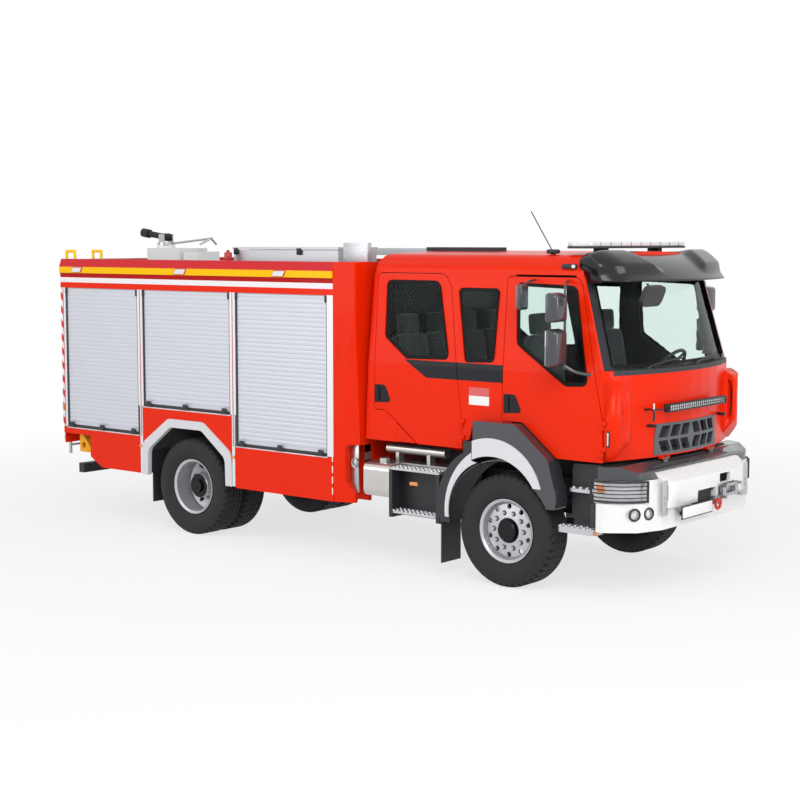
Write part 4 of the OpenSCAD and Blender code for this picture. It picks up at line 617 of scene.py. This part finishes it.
# Area lamps: name, place, aim, size and power
LAMPS = (
    ("key", (9, -9, 9), (0, 0, 1.5), 7, 830),
    ("fill", (-6, -13, 6), (-1, 0, 1.5), 9, 490),
    ("front", (15, 1, 5), (2, 0, 1.5), 6, 450),
)
WORLD_LIGHT = 0.44
FLOOR_HALF, FLOOR_DROP = 60, -0.002


class TRUCK_OT_stage(bpy.types.Operator):
    """Makes the camera at the photograph's angle, the pale floor and the soft studio light"""

    bl_idname = "truck.stage"
    bl_label = "Stage"

    def execute(self, context):
        scene = context.scene
        eye = bpy.data.objects.new("eye", bpy.data.cameras.new("eye"))
        scene.collection.objects.link(eye)
        eye.data.sensor_width, eye.data.lens, eye.data.clip_end = EYE_SENSOR, scene.truck_sizes.lens, 200
        eye.location = at(*EYE_SPOT)
        level = math.cos(EYE_PITCH)
        look = Vector((-math.sin(EYE_YAW) * level, math.cos(EYE_YAW) * level, -math.sin(EYE_PITCH)))
        eye.rotation_mode = "QUATERNION"
        eye.rotation_quaternion = look.to_track_quat("-Z", "Y")
        scene.camera = eye
        self.backdrop(scene)
        self.lights(scene)
        scene.view_settings.view_transform = "Standard"
        return {"FINISHED"}

    def shown(self, tree):
        """1 for a ray that shows the background: straight to the camera, in a reflection or through glass."""
        paths = add(tree, "LightPath").outputs
        clear = add(tree, "Math", "MAXIMUM", i0=paths["Is Camera Ray"], i1=paths["Is Transmission Ray"])
        return add(tree, "Math", "MAXIMUM", i0=clear.outputs[0], i1=paths["Is Glossy Ray"]).outputs[0]

    def backdrop(self, scene):
        """The floor, white to the camera and to reflections but shaded where the vehicle darkens it."""
        bm = bmesh.new()
        bmesh.ops.create_grid(bm, x_segments=1, y_segments=1, size=FLOOR_HALF)
        mesh = bpy.data.meshes.new("floor")
        bm.to_mesh(mesh)
        bm.free()
        floor = bpy.data.objects.new("floor", mesh)
        floor.location.z = FLOOR_DROP
        scene.collection.objects.link(floor)
        pale = bpy.data.materials.new("studio_floor")
        pale.use_nodes = True
        tree = pale.node_tree
        shader = tree.nodes["Principled BSDF"]
        shader.inputs["Base Color"].default_value = tuple(scene.truck_colours.backdrop)
        shader.inputs["Roughness"].default_value = 0.9
        shader.inputs["Specular IOR Level"].default_value = 0.0
        spot = add(tree, "TexCoord").outputs["Object"]
        far = add(tree, "VectorMath", "LENGTH", i0=spot).outputs["Value"]
        glow = add(tree, "MapRange", Value=far, From_Min=4.0, From_Max=11.0, To_Min=0.72, To_Max=1.0)
        share = add(tree, "Math", "MULTIPLY", i0=glow.outputs["Result"], i1=self.shown(tree))
        white = add(tree, "Emission", Color=(1, 1, 1, 1), Strength=1.0)
        both = add(tree, "MixShader", i0=share.outputs[0], i1=shader.outputs[0], i2=white.outputs[0])
        tree.links.new(both.outputs[0], tree.nodes["Material Output"].inputs["Surface"])
        mesh.materials.append(pale)

    def lights(self, scene):
        """A pale world that looks white to the camera, and large soft lamps."""
        world = bpy.data.worlds.new("studio")
        scene.world = world
        world.use_nodes = True
        tree = world.node_tree
        level = add(tree, "MapRange", Value=self.shown(tree), To_Min=WORLD_LIGHT, To_Max=1.0)
        tree.links.new(level.outputs["Result"], tree.nodes["Background"].inputs["Strength"])
        tree.nodes["Background"].inputs["Color"].default_value = (1, 1, 1, 1)
        for name, spot, aim, size, power in LAMPS:
            lamp = bpy.data.lights.new(name, "AREA")
            lamp.size, lamp.energy = size, power
            held = bpy.data.objects.new(name, lamp)
            held.location = spot
            held.rotation_mode = "QUATERNION"
            held.rotation_quaternion = (Vector(aim) - Vector(spot)).to_track_quat("-Z", "Y")
            scene.collection.objects.link(held)


def shutter_spans():
    """The rear edge, front edge and foot of each side shutter, in millimetres."""
    for first, last, foot in zip(POSTS, POSTS[1:], SHUTTER_FEET):
        yield first + POST_HALF, last - POST_HALF, foot


class TRUCK_OT_shutters(bpy.types.Operator):
    """Makes the shutters' seals, foot bars, latches and the lines on their posts"""

    bl_idname = "truck.shutters"
    bl_label = "Shutter fittings"

    def execute(self, context):
        wide = context.scene.truck_sizes.seal_width * 1000
        bm = bmesh.new()
        for back, front, foot in shutter_spans():
            block(bm, (back, -1249, foot), (back + wide, -1236, SHUTTER_TOP), 0.004)
            block(bm, (front - 9, -1248, foot), (front, -1236, SHUTTER_TOP), 0.003)
            block(bm, (back + wide, -1250, foot), (front - 9, -1236, foot + 30), 0.006)
            block(bm, (back - 4, FOIL, foot - 16), (front + 4, FACE, foot - 4), 0.001, material=1)
            for x in (back, front - 26):
                block(bm, (x - 2, -1253, SHUTTER_TOP - 74), (x + 28, -1238, SHUTTER_TOP - 2), 0.005)
            for x in (back + 92, (back + front) / 2, front - 80):
                self.latch(bm, x, foot)
        for x in POSTS[:3]:
            block(bm, (x - 4, -1250.5, 1030), (x + 5, FACE, SHUTTER_TOP - 2), 0.0005, material=2)
        mirrored(bm)
        for y in (-660, 636):
            block(bm, (-2131, y, 1040), (-2118, y + 24, 2610), 0.004)
        block(bm, (-2133, -660, 1040), (-2118, 660, 1072), 0.006)
        finishes = ["black_polypropylene", "pale_grey_foil", "signal_red"]
        piece("shutter_fittings", bm, "chassis", finishes)
        return {"FINISHED"}

    def latch(self, bm, x, foot):
        """A twist latch: a striker plate on the foot bar and a hooked finger pull over it."""
        block(bm, (x - 66, -1262, foot + 2), (x + 66, -1249, foot + 24), 0.005)
        lean = [at(x + dx, -1252, foot + dz) for dx, dz in ((-34, 8), (34, 8), (26, 62), (-26, 62))]
        slab(bm, lean, Vector((0, -0.022, 0)), 0.006)
        rod(bm, at(x - 50, -1268, foot + 13), at(x + 50, -1268, foot + 13), 0.009, bevel=0.003)


class TRUCK_OT_body_trim(bpy.types.Operator):
    """Makes the chevron strips, markers, lamp rims and reflective dashes on the body"""

    bl_idname = "truck.body_trim"
    bl_label = "Body trim"

    def execute(self, context):
        bm = bmesh.new()
        block(bm, (-2118, FOIL, 1060), (-2082, FACE, 2630), 0.0008)
        mirrored(bm)
        piece("corner_chevrons", bm, "chassis", ["chevron_foil"])
        bm = bmesh.new()
        for x in POSTS[1:3]:
            block(bm, (x - 30, -1264, 902), (x + 30, FACE, 930), 0.006)
        block(bm, (-2116, -1262, 1230), (-2084, FACE, 1290), 0.006)
        mirrored(bm)
        piece("amber_markers", bm, "chassis", ["amber_lens"])
        bm = bmesh.new()
        for x in (-1800, -75, 1390):
            rim = [at(x + dx, -1264, z) for dx, z in ((-104, 2825), (70, 2825), (104, 2887), (-70, 2887))]
            slab(bm, rim, Vector((0, -0.008, 0)), 0.002)
        mirrored(bm)
        piece("stripe_lamp_rims", bm, "chassis", ["signal_red"])
        dome = [(0.0, 0.012), (0.020, 0.010), (0.034, 0.005), (0.041, -0.004), (0.041, -0.020)]
        for name, heights in (("red_lens", (1250, 1350)), ("amber_lens", (1450,))):
            bm = bmesh.new()
            for z in heights:
                lathe(bm, dome, at(-2149, -1188, z), (-1, 0, 0), 24)
            mirrored(bm)
            piece("rear_" + name, bm, "chassis", [name])
        bm = bmesh.new()
        for z in range(660, 1000, 110):
            block(bm, (2092, FOIL, z), (2104, FACE, z + 70), 0.0008)
        mirrored(bm)
        piece("skirt_dashes", bm, "chassis", ["bare_plate"])
        return {"FINISHED"}


# CAD parts that are shown as smooth skins: node, body, finish and slot
CURVED = (
    ("cab_front", "cab", "nose_paint", "red_paint"),
    ("bumper", "chassis", "white_gelcoat", "white_paint"),
    ("bumper_cowl", "chassis", "graphite_moulding", "black_plastic"),
    ("cab_fenders", "cab", "graphite_moulding", "black_plastic"),
    ("fender_trims", "cab", "pale_grey_foil", "white_paint"),
    ("arch_trims", "chassis", "pale_grey_foil", "white_paint"),
)
# The visor, in millimetres: half width, where its ends begin, its lip's reach and the radius of its plan
HOOD_HALF, HOOD_END, HOOD_REACH, HOOD_ROUND = 1060, 850, 5410, 2820
# Its edge on the roof, and how high its lamp pods stand
HOOD_X, HOOD_Z, POD_RISE = 4872, 3084, 55


def ease(part):
    """A smooth step from 0 to 1."""
    part = min(1.0, max(0.0, part))
    return part * part * (3 - 2 * part)


class TRUCK_OT_mouldings(bpy.types.Operator):
    """Makes the curved panels and mouldings as smooth skins over their CAD forms"""

    bl_idname = "truck.mouldings"
    bl_label = "Curved mouldings"

    def execute(self, context):
        for node, body, finish, slot in CURVED:
            made = piece(node + "_skin", joined(node), body, [finish], recalc=False, angle=24)
            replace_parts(made, node)
        self.visor()
        return {"FINISHED"}

    def visor(self):
        """The visor: a sheet from the roof to its lip, raised into two pods, with its ends turned down."""
        bm = bmesh.new()
        bmesh.ops.create_grid(bm, x_segments=84, y_segments=36, size=1.0)
        for v in bm.verts:
            v.co = self.hood_point(v.co.x, (v.co.y + 1) / 2)
        edge = HOOD_HALF / 1000 - 0.0005
        ends = [e for e in bm.edges if e.is_boundary and all(abs(v.co.y) > edge for v in e.verts)]
        turned = bmesh.ops.extrude_edge_only(bm, edges=ends)
        for v in turned["geom"]:
            if isinstance(v, bmesh.types.BMVert):
                v.co.z = min(v.co.z, max(2.815, 2.815 + (at(4985, 0, 0).x - v.co.x) * 1.2))
        made = piece("visor_moulding", bm, "cab", ["gloss_black_abs"], angle=50)
        wall = made.modifiers.new("wall", "SOLIDIFY")
        wall.thickness, wall.offset = 0.010, -1
        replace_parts(made, "visor")

    def hood_point(self, across, along):
        """A point of the visor sheet, across the cab from -1 to 1 and from the roof at 0 to the lip at 1."""
        y = HOOD_HALF * across
        over = max(0.0, (abs(y) - HOOD_END) / (HOOD_HALF - HOOD_END))
        lip = HOOD_REACH - HOOD_ROUND + math.sqrt(HOOD_ROUND**2 - y**2) - 105 * over**2
        x = HOOD_X + (lip - HOOD_X) * along
        z = HOOD_Z - 252 * along**1.9 - 58 * over**2 * (1 - along)
        sides = ease((abs(y) - 560 + 300 * along) / 150)
        raised = POD_RISE * sides * ease(along / 0.35) * ease((0.90 - along) / 0.16)
        return at(x + 0.45 * raised, y, z + 0.89 * raised)


WINDOWED = (
    ("glass_front_right", "door_front_right"), ("glass_front_left", "door_front_left"),
    ("glass_rear_right", "door_rear_right"), ("glass_rear_left", "door_rear_left"), ("cab_glass", "cab"),
)
# The ways that the panes look: right, left, and forward up the windscreen
PANE_WAYS = (Vector((0, -1, 0)), Vector((0, 1, 0)), Vector((0.95, 0, 0.31)))


class TRUCK_OT_windows(bpy.types.Operator):
    """Makes the window panes with their black borders from the CAD glass"""

    bl_idname = "truck.windows"
    bl_label = "Windows"

    def execute(self, context):
        wide = context.scene.truck_sizes.frit_width
        for node, body in WINDOWED:
            bm = joined(node)
            bmesh.ops.dissolve_limit(bm, angle_limit=0.002, verts=bm.verts[:], edges=bm.edges[:])
            for way in PANE_WAYS:
                looking = [f for f in bm.faces if f.normal.dot(way) > 0.85]
                faces = [f for f in looking if f.calc_center_median().dot(way) > 0.9]
                if faces:
                    border = bmesh.ops.inset_region(
                        bm, faces=faces, thickness=wide, use_boundary=True, use_even_offset=True
                    )
                    for face in border["faces"]:
                        face.material_index = 1
            glass = "screen_glass" if body == "cab" else "tinted_glass"
            finishes = [glass, "fired_black_border"]
            made = piece(node + "_pane", bm, body, finishes, recalc=False, angle=20)
            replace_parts(made, node)
        return {"FINISHED"}


# The feet and tops of the two heads of a door mirror, in millimetres
MIRROR_HEADS = ((2080, 2425), (2470, 2740))


class TRUCK_OT_mirrors(bpy.types.Operator):
    """Makes the two-part door mirrors on their bent arms"""

    bl_idname = "truck.mirrors"
    bl_label = "Mirrors"

    def execute(self, context):
        for side, word in SIDES:
            bm = bmesh.new()
            for low, high in MIRROR_HEADS:
                shell = block(bm, (4770, side * 1232, low), (4885, side * 1458, high))
                front = [v for v in shell if v.co.x > at(4800, 0, 0).x]
                middle = at(4885, side * 1345, (low + high) / 2)
                bmesh.ops.scale(bm, vec=(1, 0.80, 0.86), verts=front, space=Matrix.Translation(-middle))
                finish_part(bm, shell, 0.030, 4, 0)
                block(bm, (4766, side * 1252, low + 20), (4774, side * 1438, high - 20), 0.002, material=1)
            low_arm = ((5038, 1110, 2010), (4930, 1205, 2040), (4850, 1250, 2090))
            high_arm = ((4850, 1250, 2060), (4850, 1250, 2770), (4835, 1220, 2800), (4750, 1060, 2836))
            for arm, radius in ((low_arm, 0.014), (high_arm, 0.013)):
                pipe(bm, [at(x, side * y, z) for x, y, z in arm], radius)
            if side == RIGHT:
                self.kerb_mirror(bm)
            finishes = ["graphite_moulding", "mirror_silver"]
            made = piece("door_mirror_" + word, bm, "door_front_" + word, finishes)
            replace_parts(made, "mirror_" + word)
        return {"FINISHED"}

    def kerb_mirror(self, bm):
        """The small mirror over the kerb side's window, on its own arm."""
        block(bm, (4376, -1338, 2572), (4434, -1202, 2803), 0.026, 4)
        block(bm, (4372, -1322, 2590), (4378, -1218, 2785), 0.002, material=1)
        pipe(bm, [at(4405, -1062, 2836), at(4405, -1180, 2822), at(4405, -1268, 2780)], 0.010)


CAB_FLOOR = 1308
# Rows of seats: name, middle, base, width, places across, and the places and half width of their boxes
SEAT_ROWS = (
    ("front_seats", 4410, 1353, 500, (-560, 560), (-502, 502), 110),
    ("crew_seats", 2935, 1308, 465, (-720, -240, 240, 720), (-720, -240, 240, 720), 190),
)


class TRUCK_OT_seats(bpy.types.Operator):
    """Makes the seats: crowned pads with sewn channels, on their boxes"""

    bl_idname = "truck.seats"
    bl_label = "Seats"

    def execute(self, context):
        boxes = bmesh.new()
        for name, x, base, wide, places, feet, half in SEAT_ROWS:
            bm = bmesh.new()
            for y in places:
                self.pad(bm, at(x + 15, y, base + 320), 0, (480, wide - 8, 116), 10)
                self.pad(bm, at(x - 232, y, base + 640), -9.5, (112, wide - 8, 640), 10)
                self.pad(bm, at(x - 300, y, base + 1056), -5, (84, 268, 196), 6)
            made = piece(name, bm, "cab", ["seat_cloth"], angle=180)
            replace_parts(made, "seats")
            for y in feet:
                block(boxes, (x - 180, y - half, CAB_FLOOR), (x + 180, y + half, base + 262), 0.012)
        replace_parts(piece("seat_boxes", boxes, "cab", ["dashboard_vinyl"]), "seats")
        return {"FINISHED"}

    def pad(self, bm, centre, lean, size, crown):
        """One pad: a cube of patches whose faces crown and whose long channels are sewn down."""
        half = Vector(size) / 2000
        turn = Matrix.Translation(centre) @ Matrix.Rotation(math.radians(lean), 4, "Y")
        part = bmesh.new()
        bmesh.ops.create_cube(part, size=2.0)
        bmesh.ops.subdivide_edges(part, edges=part.edges[:], cuts=11, use_grid_fill=True)
        thin = min(range(3), key=lambda i: half[i])
        for v in part.verts:
            u = v.co.copy()
            for i in range(3):
                others = u[(i + 1) % 3], u[(i + 2) % 3]
                outer = abs(u[i]) > 0.99
                reach = half[i] * (1 - 0.05 * (others[0] ** 6 + others[1] ** 6))
                swell = crown / 1000 * (1 - others[0] ** 2) * (1 - others[1] ** 2) * 0.6
                sewn = 0.006 * math.exp(-(((abs(u.y) - 0.5) / 0.07) ** 2)) * (i == thin)
                v.co[i] = u[i] * reach + math.copysign(swell - sewn, u[i]) * outer
        bmesh.ops.smooth_vert(
            part, verts=part.verts[:], factor=0.5, use_axis_x=True, use_axis_y=True, use_axis_z=True
        )
        bmesh.ops.transform(part, matrix=turn, verts=part.verts[:])
        mesh = bpy.data.meshes.new("pad")
        part.to_mesh(mesh)
        part.free()
        bm.from_mesh(mesh)
        bpy.data.meshes.remove(mesh)


# Wheel nut rings: how many, the radius of their circle, and their section of radius and distance, in metres
NUTS, NUT_CIRCLE = 10, 0.1675
NUT_RING = [(0.0150, 0.072), (0.0235, 0.072), (0.0235, 0.0795), (0.0215, 0.081), (0.0150, 0.081)]


class TRUCK_OT_wheels(bpy.types.Operator):
    """Makes the dark rings round the wheel nuts"""

    bl_idname = "truck.wheels"
    bl_label = "Wheel fittings"

    def execute(self, context):
        for side, word in SIDES:
            bm = bmesh.new()
            hub = at(FRONT_AXLE, side * 1050, AXLE_HEIGHT)
            for k in range(NUTS):
                turn = 2 * math.pi * k / NUTS
                spot = hub + Vector((math.cos(turn), 0, math.sin(turn))) * NUT_CIRCLE
                lathe(bm, NUT_RING, spot, (0, side, 0), 16, closed=True)
            piece("nut_rings_" + word, bm, "wheel_front_" + word, ["black_polypropylene"])
        return {"FINISHED"}


class TRUCK_OT_front(bpy.types.Operator):
    """Makes the fittings on the cab's nose: light bars, posts, painted shade in the ducts, side lamps and
    blank labels
    """

    bl_idname = "truck.front"
    bl_label = "Cab front"

    def execute(self, context):
        self.light_bars()
        self.nose()
        self.panels()
        self.cowl()
        return {"FINISHED"}

    def light_bars(self):
        """The roof light bar with round ends on its two feet, and the front lamp bar on its brackets."""
        bm = bmesh.new()
        turns = [math.pi * k / 12 for k in range(13)]
        for low, high, half, bevel, finish in ((3118, 3136, 140, 0.003, 1), (3136, 3178, 135, 0.010, 0)):
            plan = [at(4725 + half * math.cos(a), 785 + half * math.sin(a), low) for a in turns]
            plan += [at(4725 - half * math.cos(a), -785 - half * math.sin(a), low) for a in turns]
            slab(bm, plan, Vector((0, 0, (high - low) / 1000)), bevel, 3, finish)
        for y in range(-700, 701, 175):
            block(bm, (4720, y - 5, 3136), (4861.5, y + 5, 3174), 0.002, material=2)
        for y in (-520, 440):
            block(bm, (4665, y, 3076), (4785, y + 80, 3119), 0.006, material=1)
        block(bm, (5440, -520, 1672), (5488, 520, 1726), 0.006)
        for y in (-400, 340):
            block(bm, (5360, y, 1690), (5441, y + 60, 1710), 0.004, material=1)
        finishes = ["clear_lens", "black_polypropylene", "grey_moulding"]
        made = piece("cab_light_bars", bm, "cab", finishes)
        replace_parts(made, "cab_lamps")

    def nose(self):
        """The lamp bar's frame, pins and post, black plates as painted shade in the side ducts, and the side
        lamps with their lenses.
        """
        bm = bmesh.new()
        for low, high in ((1664, 1675), (1723, 1734)):
            block(bm, (5438, -526, low), (5497, 526, high), 0.003)
        for y in (-532, 520):
            block(bm, (5436, y, 1662), (5498, y + 12, 1736), 0.004)
        for y in range(-507, 508, 39):
            block(bm, (5490, y - 2.5, 1674), (5495.5, y + 2.5, 1724))
        block(bm, (5490, -520, 1697), (5495, 520, 1701))
        for y in (-640, 640):
            rod(bm, at(5330, y, 1545), at(5425, y, 1545), 0.015, bevel=0.003)
        post = ((5330, -680, 1690), (5420, -690, 1690), (5432, -690, 1660), (5428, -690, 1590))
        pipe(bm, [at(*spot) for spot in post], 0.010)
        rod(bm, at(5440, -560, 1685), at(5425, -690, 1700), 0.008)
        # Black plates inside the slots at the nose's corners: painted shade for the dark slots
        duct_shade_outline = ((5287, 1464), (5323, 1492), (5335, 1700), (5318, 1837), (5287, 1857))
        for side in (RIGHT, LEFT):
            slab(bm, [at(x, side * 1059, z) for x, z in duct_shade_outline], Vector((0, -side * 0.045, 0)))
            block(bm, (5215, side * 1118, 1385), (5245, side * 1132, 1530), 0.006)
            block(bm, (4690, side * 1040, 2938), (4848, side * 1090, 2984), 0.022, 4)
        block(bm, (4395, -895, 3070), (4520, -830, 3110), 0.018, 3)
        piece("nose_fittings", bm, "cab", ["black_polypropylene"])
        bm = bmesh.new()
        for side in (RIGHT, LEFT):
            block(bm, (5224, side * 1130, 1400), (5237, side * 1136, 1515), 0.003)
            block(bm, (4806, side * 1084, 2946), (4842, side * 1094, 2976), 0.008, 3)
        rod(bm, at(5428, -690, 1700), at(5428, -690, 1752), 0.008)
        piece("nose_lenses", bm, "cab", ["clear_lens"])

    def panels(self):
        """The fixed corner under each rear door, and the blank labels between the doors."""
        bm = bmesh.new()
        for side in (RIGHT, LEFT):
            corner = [at(x, side * 1118, z) for x, z in ((2790, 1243), (3062, 1243), (2790, 1441))]
            slab(bm, corner, Vector((0, -side * 0.035, 0)), 0.003)
        piece("sill_corners", bm, "cab", ["fire_red_paint"])
        labels = (("white", 1664, 1748, "bare_plate"), ("pink", 1748, 1827, "pink_foil"))
        for word, low, high, finish in labels:
            bm = bmesh.new()
            for side in (RIGHT, LEFT):
                block(bm, (3702, side * 1119.8, low), (3934, side * 1121.2, high))
            piece("panel_label_" + word, bm, "cab", [finish])

    def cowl(self):
        """The ribs along the foot of the windscreen, which follow its curve, and the wiper arms."""
        bm = bmesh.new()
        for y in range(-920, 921, 80):
            x = 5412 - (y / 1000) ** 2 * 170
            block(bm, (x - 60, y - 16, 2049), (x - 6, y + 16, 2058), 0.004)
        for pivot, tip in ((-620, -90), (150, 700)):
            base = at(5390 - (pivot / 1000) ** 2 * 170, pivot, 2066)
            end = at(5362 - (tip / 1000) ** 2 * 150, tip, 2120)
            pipe(bm, [base, base.lerp(end, 0.5) + Vector((0.012, 0, 0.012)), end], 0.009)
            rod(bm, base - Vector((0, 0, 0.018)), base + Vector((0, 0, 0.006)), 0.022, bevel=0.004)
        piece("cowl_ribs", bm, "cab", ["black_polypropylene"])


# The line of a headlamp's guard round the right corner: forward and outward, in millimetres
GUARD_LINE = ((5100, 1190), (5240, 1192), (5350, 1150), (5450, 1062), (5505, 985), (5530, 940))


class TRUCK_OT_bumper(bpy.types.Operator):
    """Makes the lamp guards, lamp parts, plate, shackle and deck of the front bumper"""

    bl_idname = "truck.bumper"
    bl_label = "Bumper fittings"

    def execute(self, context):
        self.guards()
        self.lamps()
        self.plates()
        return {"FINISHED"}

    def guards(self):
        """Wire guards round the headlamps, with their frames, the deck's ribs, and a black plate in the winch
        opening as painted shade.
        """
        bm = bmesh.new()
        for z in (950, 984, 1018, 1052):
            pipe(bm, [at(x, -y, z) for x, y in GUARD_LINE], 0.0055)
        for z in (914, 1088):
            pipe(bm, [at(x - 4, -y + 4, z) for x, y in GUARD_LINE], 0.010)
        for x, y in (GUARD_LINE[0], GUARD_LINE[-1]):
            pipe(bm, [at(x, -y, 905), at(x, -y, 1000), at(x, -y, 1096)], 0.011)
        block(bm, (5090, -1200, 668), (5150, -1110, 894), 0.018, 3)
        mirrored(bm)
        for x in (5362, 5400, 5438):
            top = 1220 - (x - 5340) * 0.393
            block(bm, (x, -650, top - 12), (x + 14, 650, top + 2), 0.003)
        # A black plate in the lower winch opening: painted shade for the dark recess
        block(bm, (5571, -229, 808), (5578, 106, 933))
        piece("lamp_guards", bm, "chassis", ["black_polypropylene"])

    def lamps(self):
        """Amber corners, fog lamp rings and the low markers."""
        bm = bmesh.new()
        block(bm, (5150, -1184, 990), (5232, -1176, 1062), 0.004)
        rod(bm, at(5150, -1180, 600), at(5150, -1180, 632), 0.014, bevel=0.003)
        mirrored(bm)
        piece("bumper_ambers", bm, "chassis", ["amber_lens"])
        bm = bmesh.new()
        for x, y, way in ((5458, -1040, (0.84, -0.54, 0)), (5517, -900, (0.95, -0.31, 0))):
            ring(bm, at(x, y, 800), way, 0.050, 0.009, material=1)
            ring(bm, at(x - 6, y, 800), way, 0.030, 0.004, 20)
        mirrored(bm)
        piece("fog_rings", bm, "chassis", ["bright_steel", "black_polypropylene"])

    def plates(self):
        """Blank number plate in its frame, the winch side plates with bolts, and the shackle."""
        bm = bmesh.new()
        block(bm, (5636, -538, 709), (5645, 22, 829), 0.003)
        for y in (-450, -80):
            block(bm, (5560, y, 730), (5637, y + 40, 760), 0.004)
        block(bm, (5644, -527, 720), (5648, 11, 818), 0.001, material=1)
        piece("number_plate", bm, "chassis", ["black_polypropylene", "bare_plate"])
        bm = bmesh.new()
        for y in (-800, 705):
            block(bm, (5588, y, 770), (5596, y + 95, 1082), 0.004)
        for y in (-752, 752):
            for z in (880, 930):
                rod(bm, at(5594, y, z), at(5604, y, z), 0.012, steps=6)
        piece("winch_side_plates", bm, "chassis", ["brushed_stainless"])
        bm = bmesh.new()
        bow = ((-40, 32), (-44, -14), (0, -46), (44, -14), (40, 32))
        pipe(bm, [at(5662, 95 + dy, 778 + dz) for dy, dz in bow], 0.014)
        rod(bm, at(5662, 38, 810), at(5662, 152, 810), 0.016, bevel=0.003)
        for y in (60, 112):
            block(bm, (5570, y, 770), (5660, y + 18, 850), 0.006, material=1)
        piece("tow_shackle", bm, "chassis", ["signal_red", "bright_steel"])


class TRUCK_OT_steps(bpy.types.Operator):
    """Makes the studs on the steps, the side marker and the recess behind the slab's foot"""

    bl_idname = "truck.steps"
    bl_label = "Steps"

    def execute(self, context):
        bm = bmesh.new()
        for top in (579, 1002):
            spots = [at(2850 + 52 * i, -1195 + 52 * j, top) for i in range(11) for j in range(3)]
            studs(bm, spots, 0.017, 0.006)
        spots = [at(4785 + 62 * i, -1190 + 52 * j, 650) for i in range(6) for j in range(2)]
        studs(bm, spots, 0.019, 0.010)
        studs(bm, [at(4860 + 70 * i, -1090, 990) for i in range(4)], 0.020, 0.012)
        mirrored(bm)
        piece("step_studs", bm, "chassis", ["mill_aluminium"])
        bm = bmesh.new()
        block(bm, (3060, -1216, 846), (3160, -1204, 882), 0.006)
        mirrored(bm)
        piece("step_markers", bm, "chassis", ["amber_lens"])
        bm = bmesh.new()
        block(bm, (2244, -1142, 690), (2356, -1128, 1172), 0.004)
        ring(bm, at(2320, -1160, 990), (0, 1, 0), 0.042, 0.009, material=1)
        rod(bm, at(2320, -1140, 990), at(2320, -1166, 990), 0.030, material=1, bevel=0.004)
        mirrored(bm)
        piece("slab_recess", bm, "chassis", ["black_polypropylene", "bright_steel"])
        return {"FINISHED"}


class TRUCK_OT_roof(bpy.types.Operator):
    """Makes the roof fittings: locker latches, chequer plate and bottle"""

    bl_idname = "truck.roof"
    bl_label = "Roof fittings"

    def execute(self, context):
        bm = bmesh.new()
        for x in (372, 1297):
            block(bm, (x - 36, -868, 3040), (x + 36, -846, 3112), 0.008)
            block(bm, (x - 22, -880, 3056), (x + 22, -866, 3100), 0.006)
        piece("locker_latches", bm, "chassis", ["black_polypropylene"])
        bm = bmesh.new()
        block(bm, (1960, -920, 2942), (2281, -858, 3167), 0.003)
        for i in range(8):
            for j in range(6):
                self.diamond(bm, at(1982 + 40 * i, -920, 2966 + 36 * j), 1 if (i + j) % 2 else -1)
        piece("chequer_plate", bm, "chassis", ["mill_aluminium"])
        bm = bmesh.new()
        rod(bm, at(340, -950, 2942), at(340, -950, 3065), 0.042, steps=28, bevel=0.012)
        rod(bm, at(340, -950, 3065), at(340, -950, 3088), 0.018, bevel=0.003)
        piece("roof_bottle", bm, "chassis", ["signal_red"])
        return {"FINISHED"}

    def diamond(self, bm, spot, lean):
        """One raised bar of the chequer pattern on an upright face, leaning one way or the other."""
        long, thin = Vector((0.013, 0, 0.013 * lean)), Vector((-0.003 * lean, 0, 0.003))
        points = [long, long * 0.4 + thin, -long * 0.4 + thin, -long, -long * 0.4 - thin, long * 0.4 - thin]
        slab(bm, [spot + p for p in points], Vector((0, -0.0025, 0)))


STEPS = [
    TRUCK_OT_stage, TRUCK_OT_finishes, TRUCK_OT_tyres, TRUCK_OT_wheels, TRUCK_OT_shutters, TRUCK_OT_body_trim,
    TRUCK_OT_mouldings, TRUCK_OT_windows, TRUCK_OT_mirrors, TRUCK_OT_seats, TRUCK_OT_front, TRUCK_OT_bumper,
    TRUCK_OT_steps, TRUCK_OT_roof,
]


class TRUCK_PT_panel(bpy.types.Panel):
    """Lists the steps that dress the fire engine"""

    bl_idname = "TRUCK_PT_panel"
    bl_label = "Fire Engine"
    bl_space_type = "VIEW_3D"
    bl_region_type = "UI"
    bl_category = "Fire Engine"

    def draw(self, context):
        for group in (context.scene.truck_colours, context.scene.truck_sizes):
            for key in group.__annotations__:
                self.layout.prop(group, key)
        for step in STEPS:
            self.layout.operator(step.bl_idname)


CLASSES = [TruckColours, TruckSizes, *STEPS, TRUCK_PT_panel]


def register():
    for item in CLASSES:
        bpy.utils.register_class(item)
    bpy.types.Scene.truck_colours = PointerProperty(type=TruckColours)
    bpy.types.Scene.truck_sizes = PointerProperty(type=TruckSizes)


def unregister():
    del bpy.types.Scene.truck_colours
    del bpy.types.Scene.truck_sizes
    for item in reversed(CLASSES):
        bpy.utils.unregister_class(item)


def main():
    register()
    for step in STEPS:
        group, name = step.bl_idname.split(".")
        getattr(getattr(bpy.ops, group), name)()


if __name__ == "__main__":
    main()
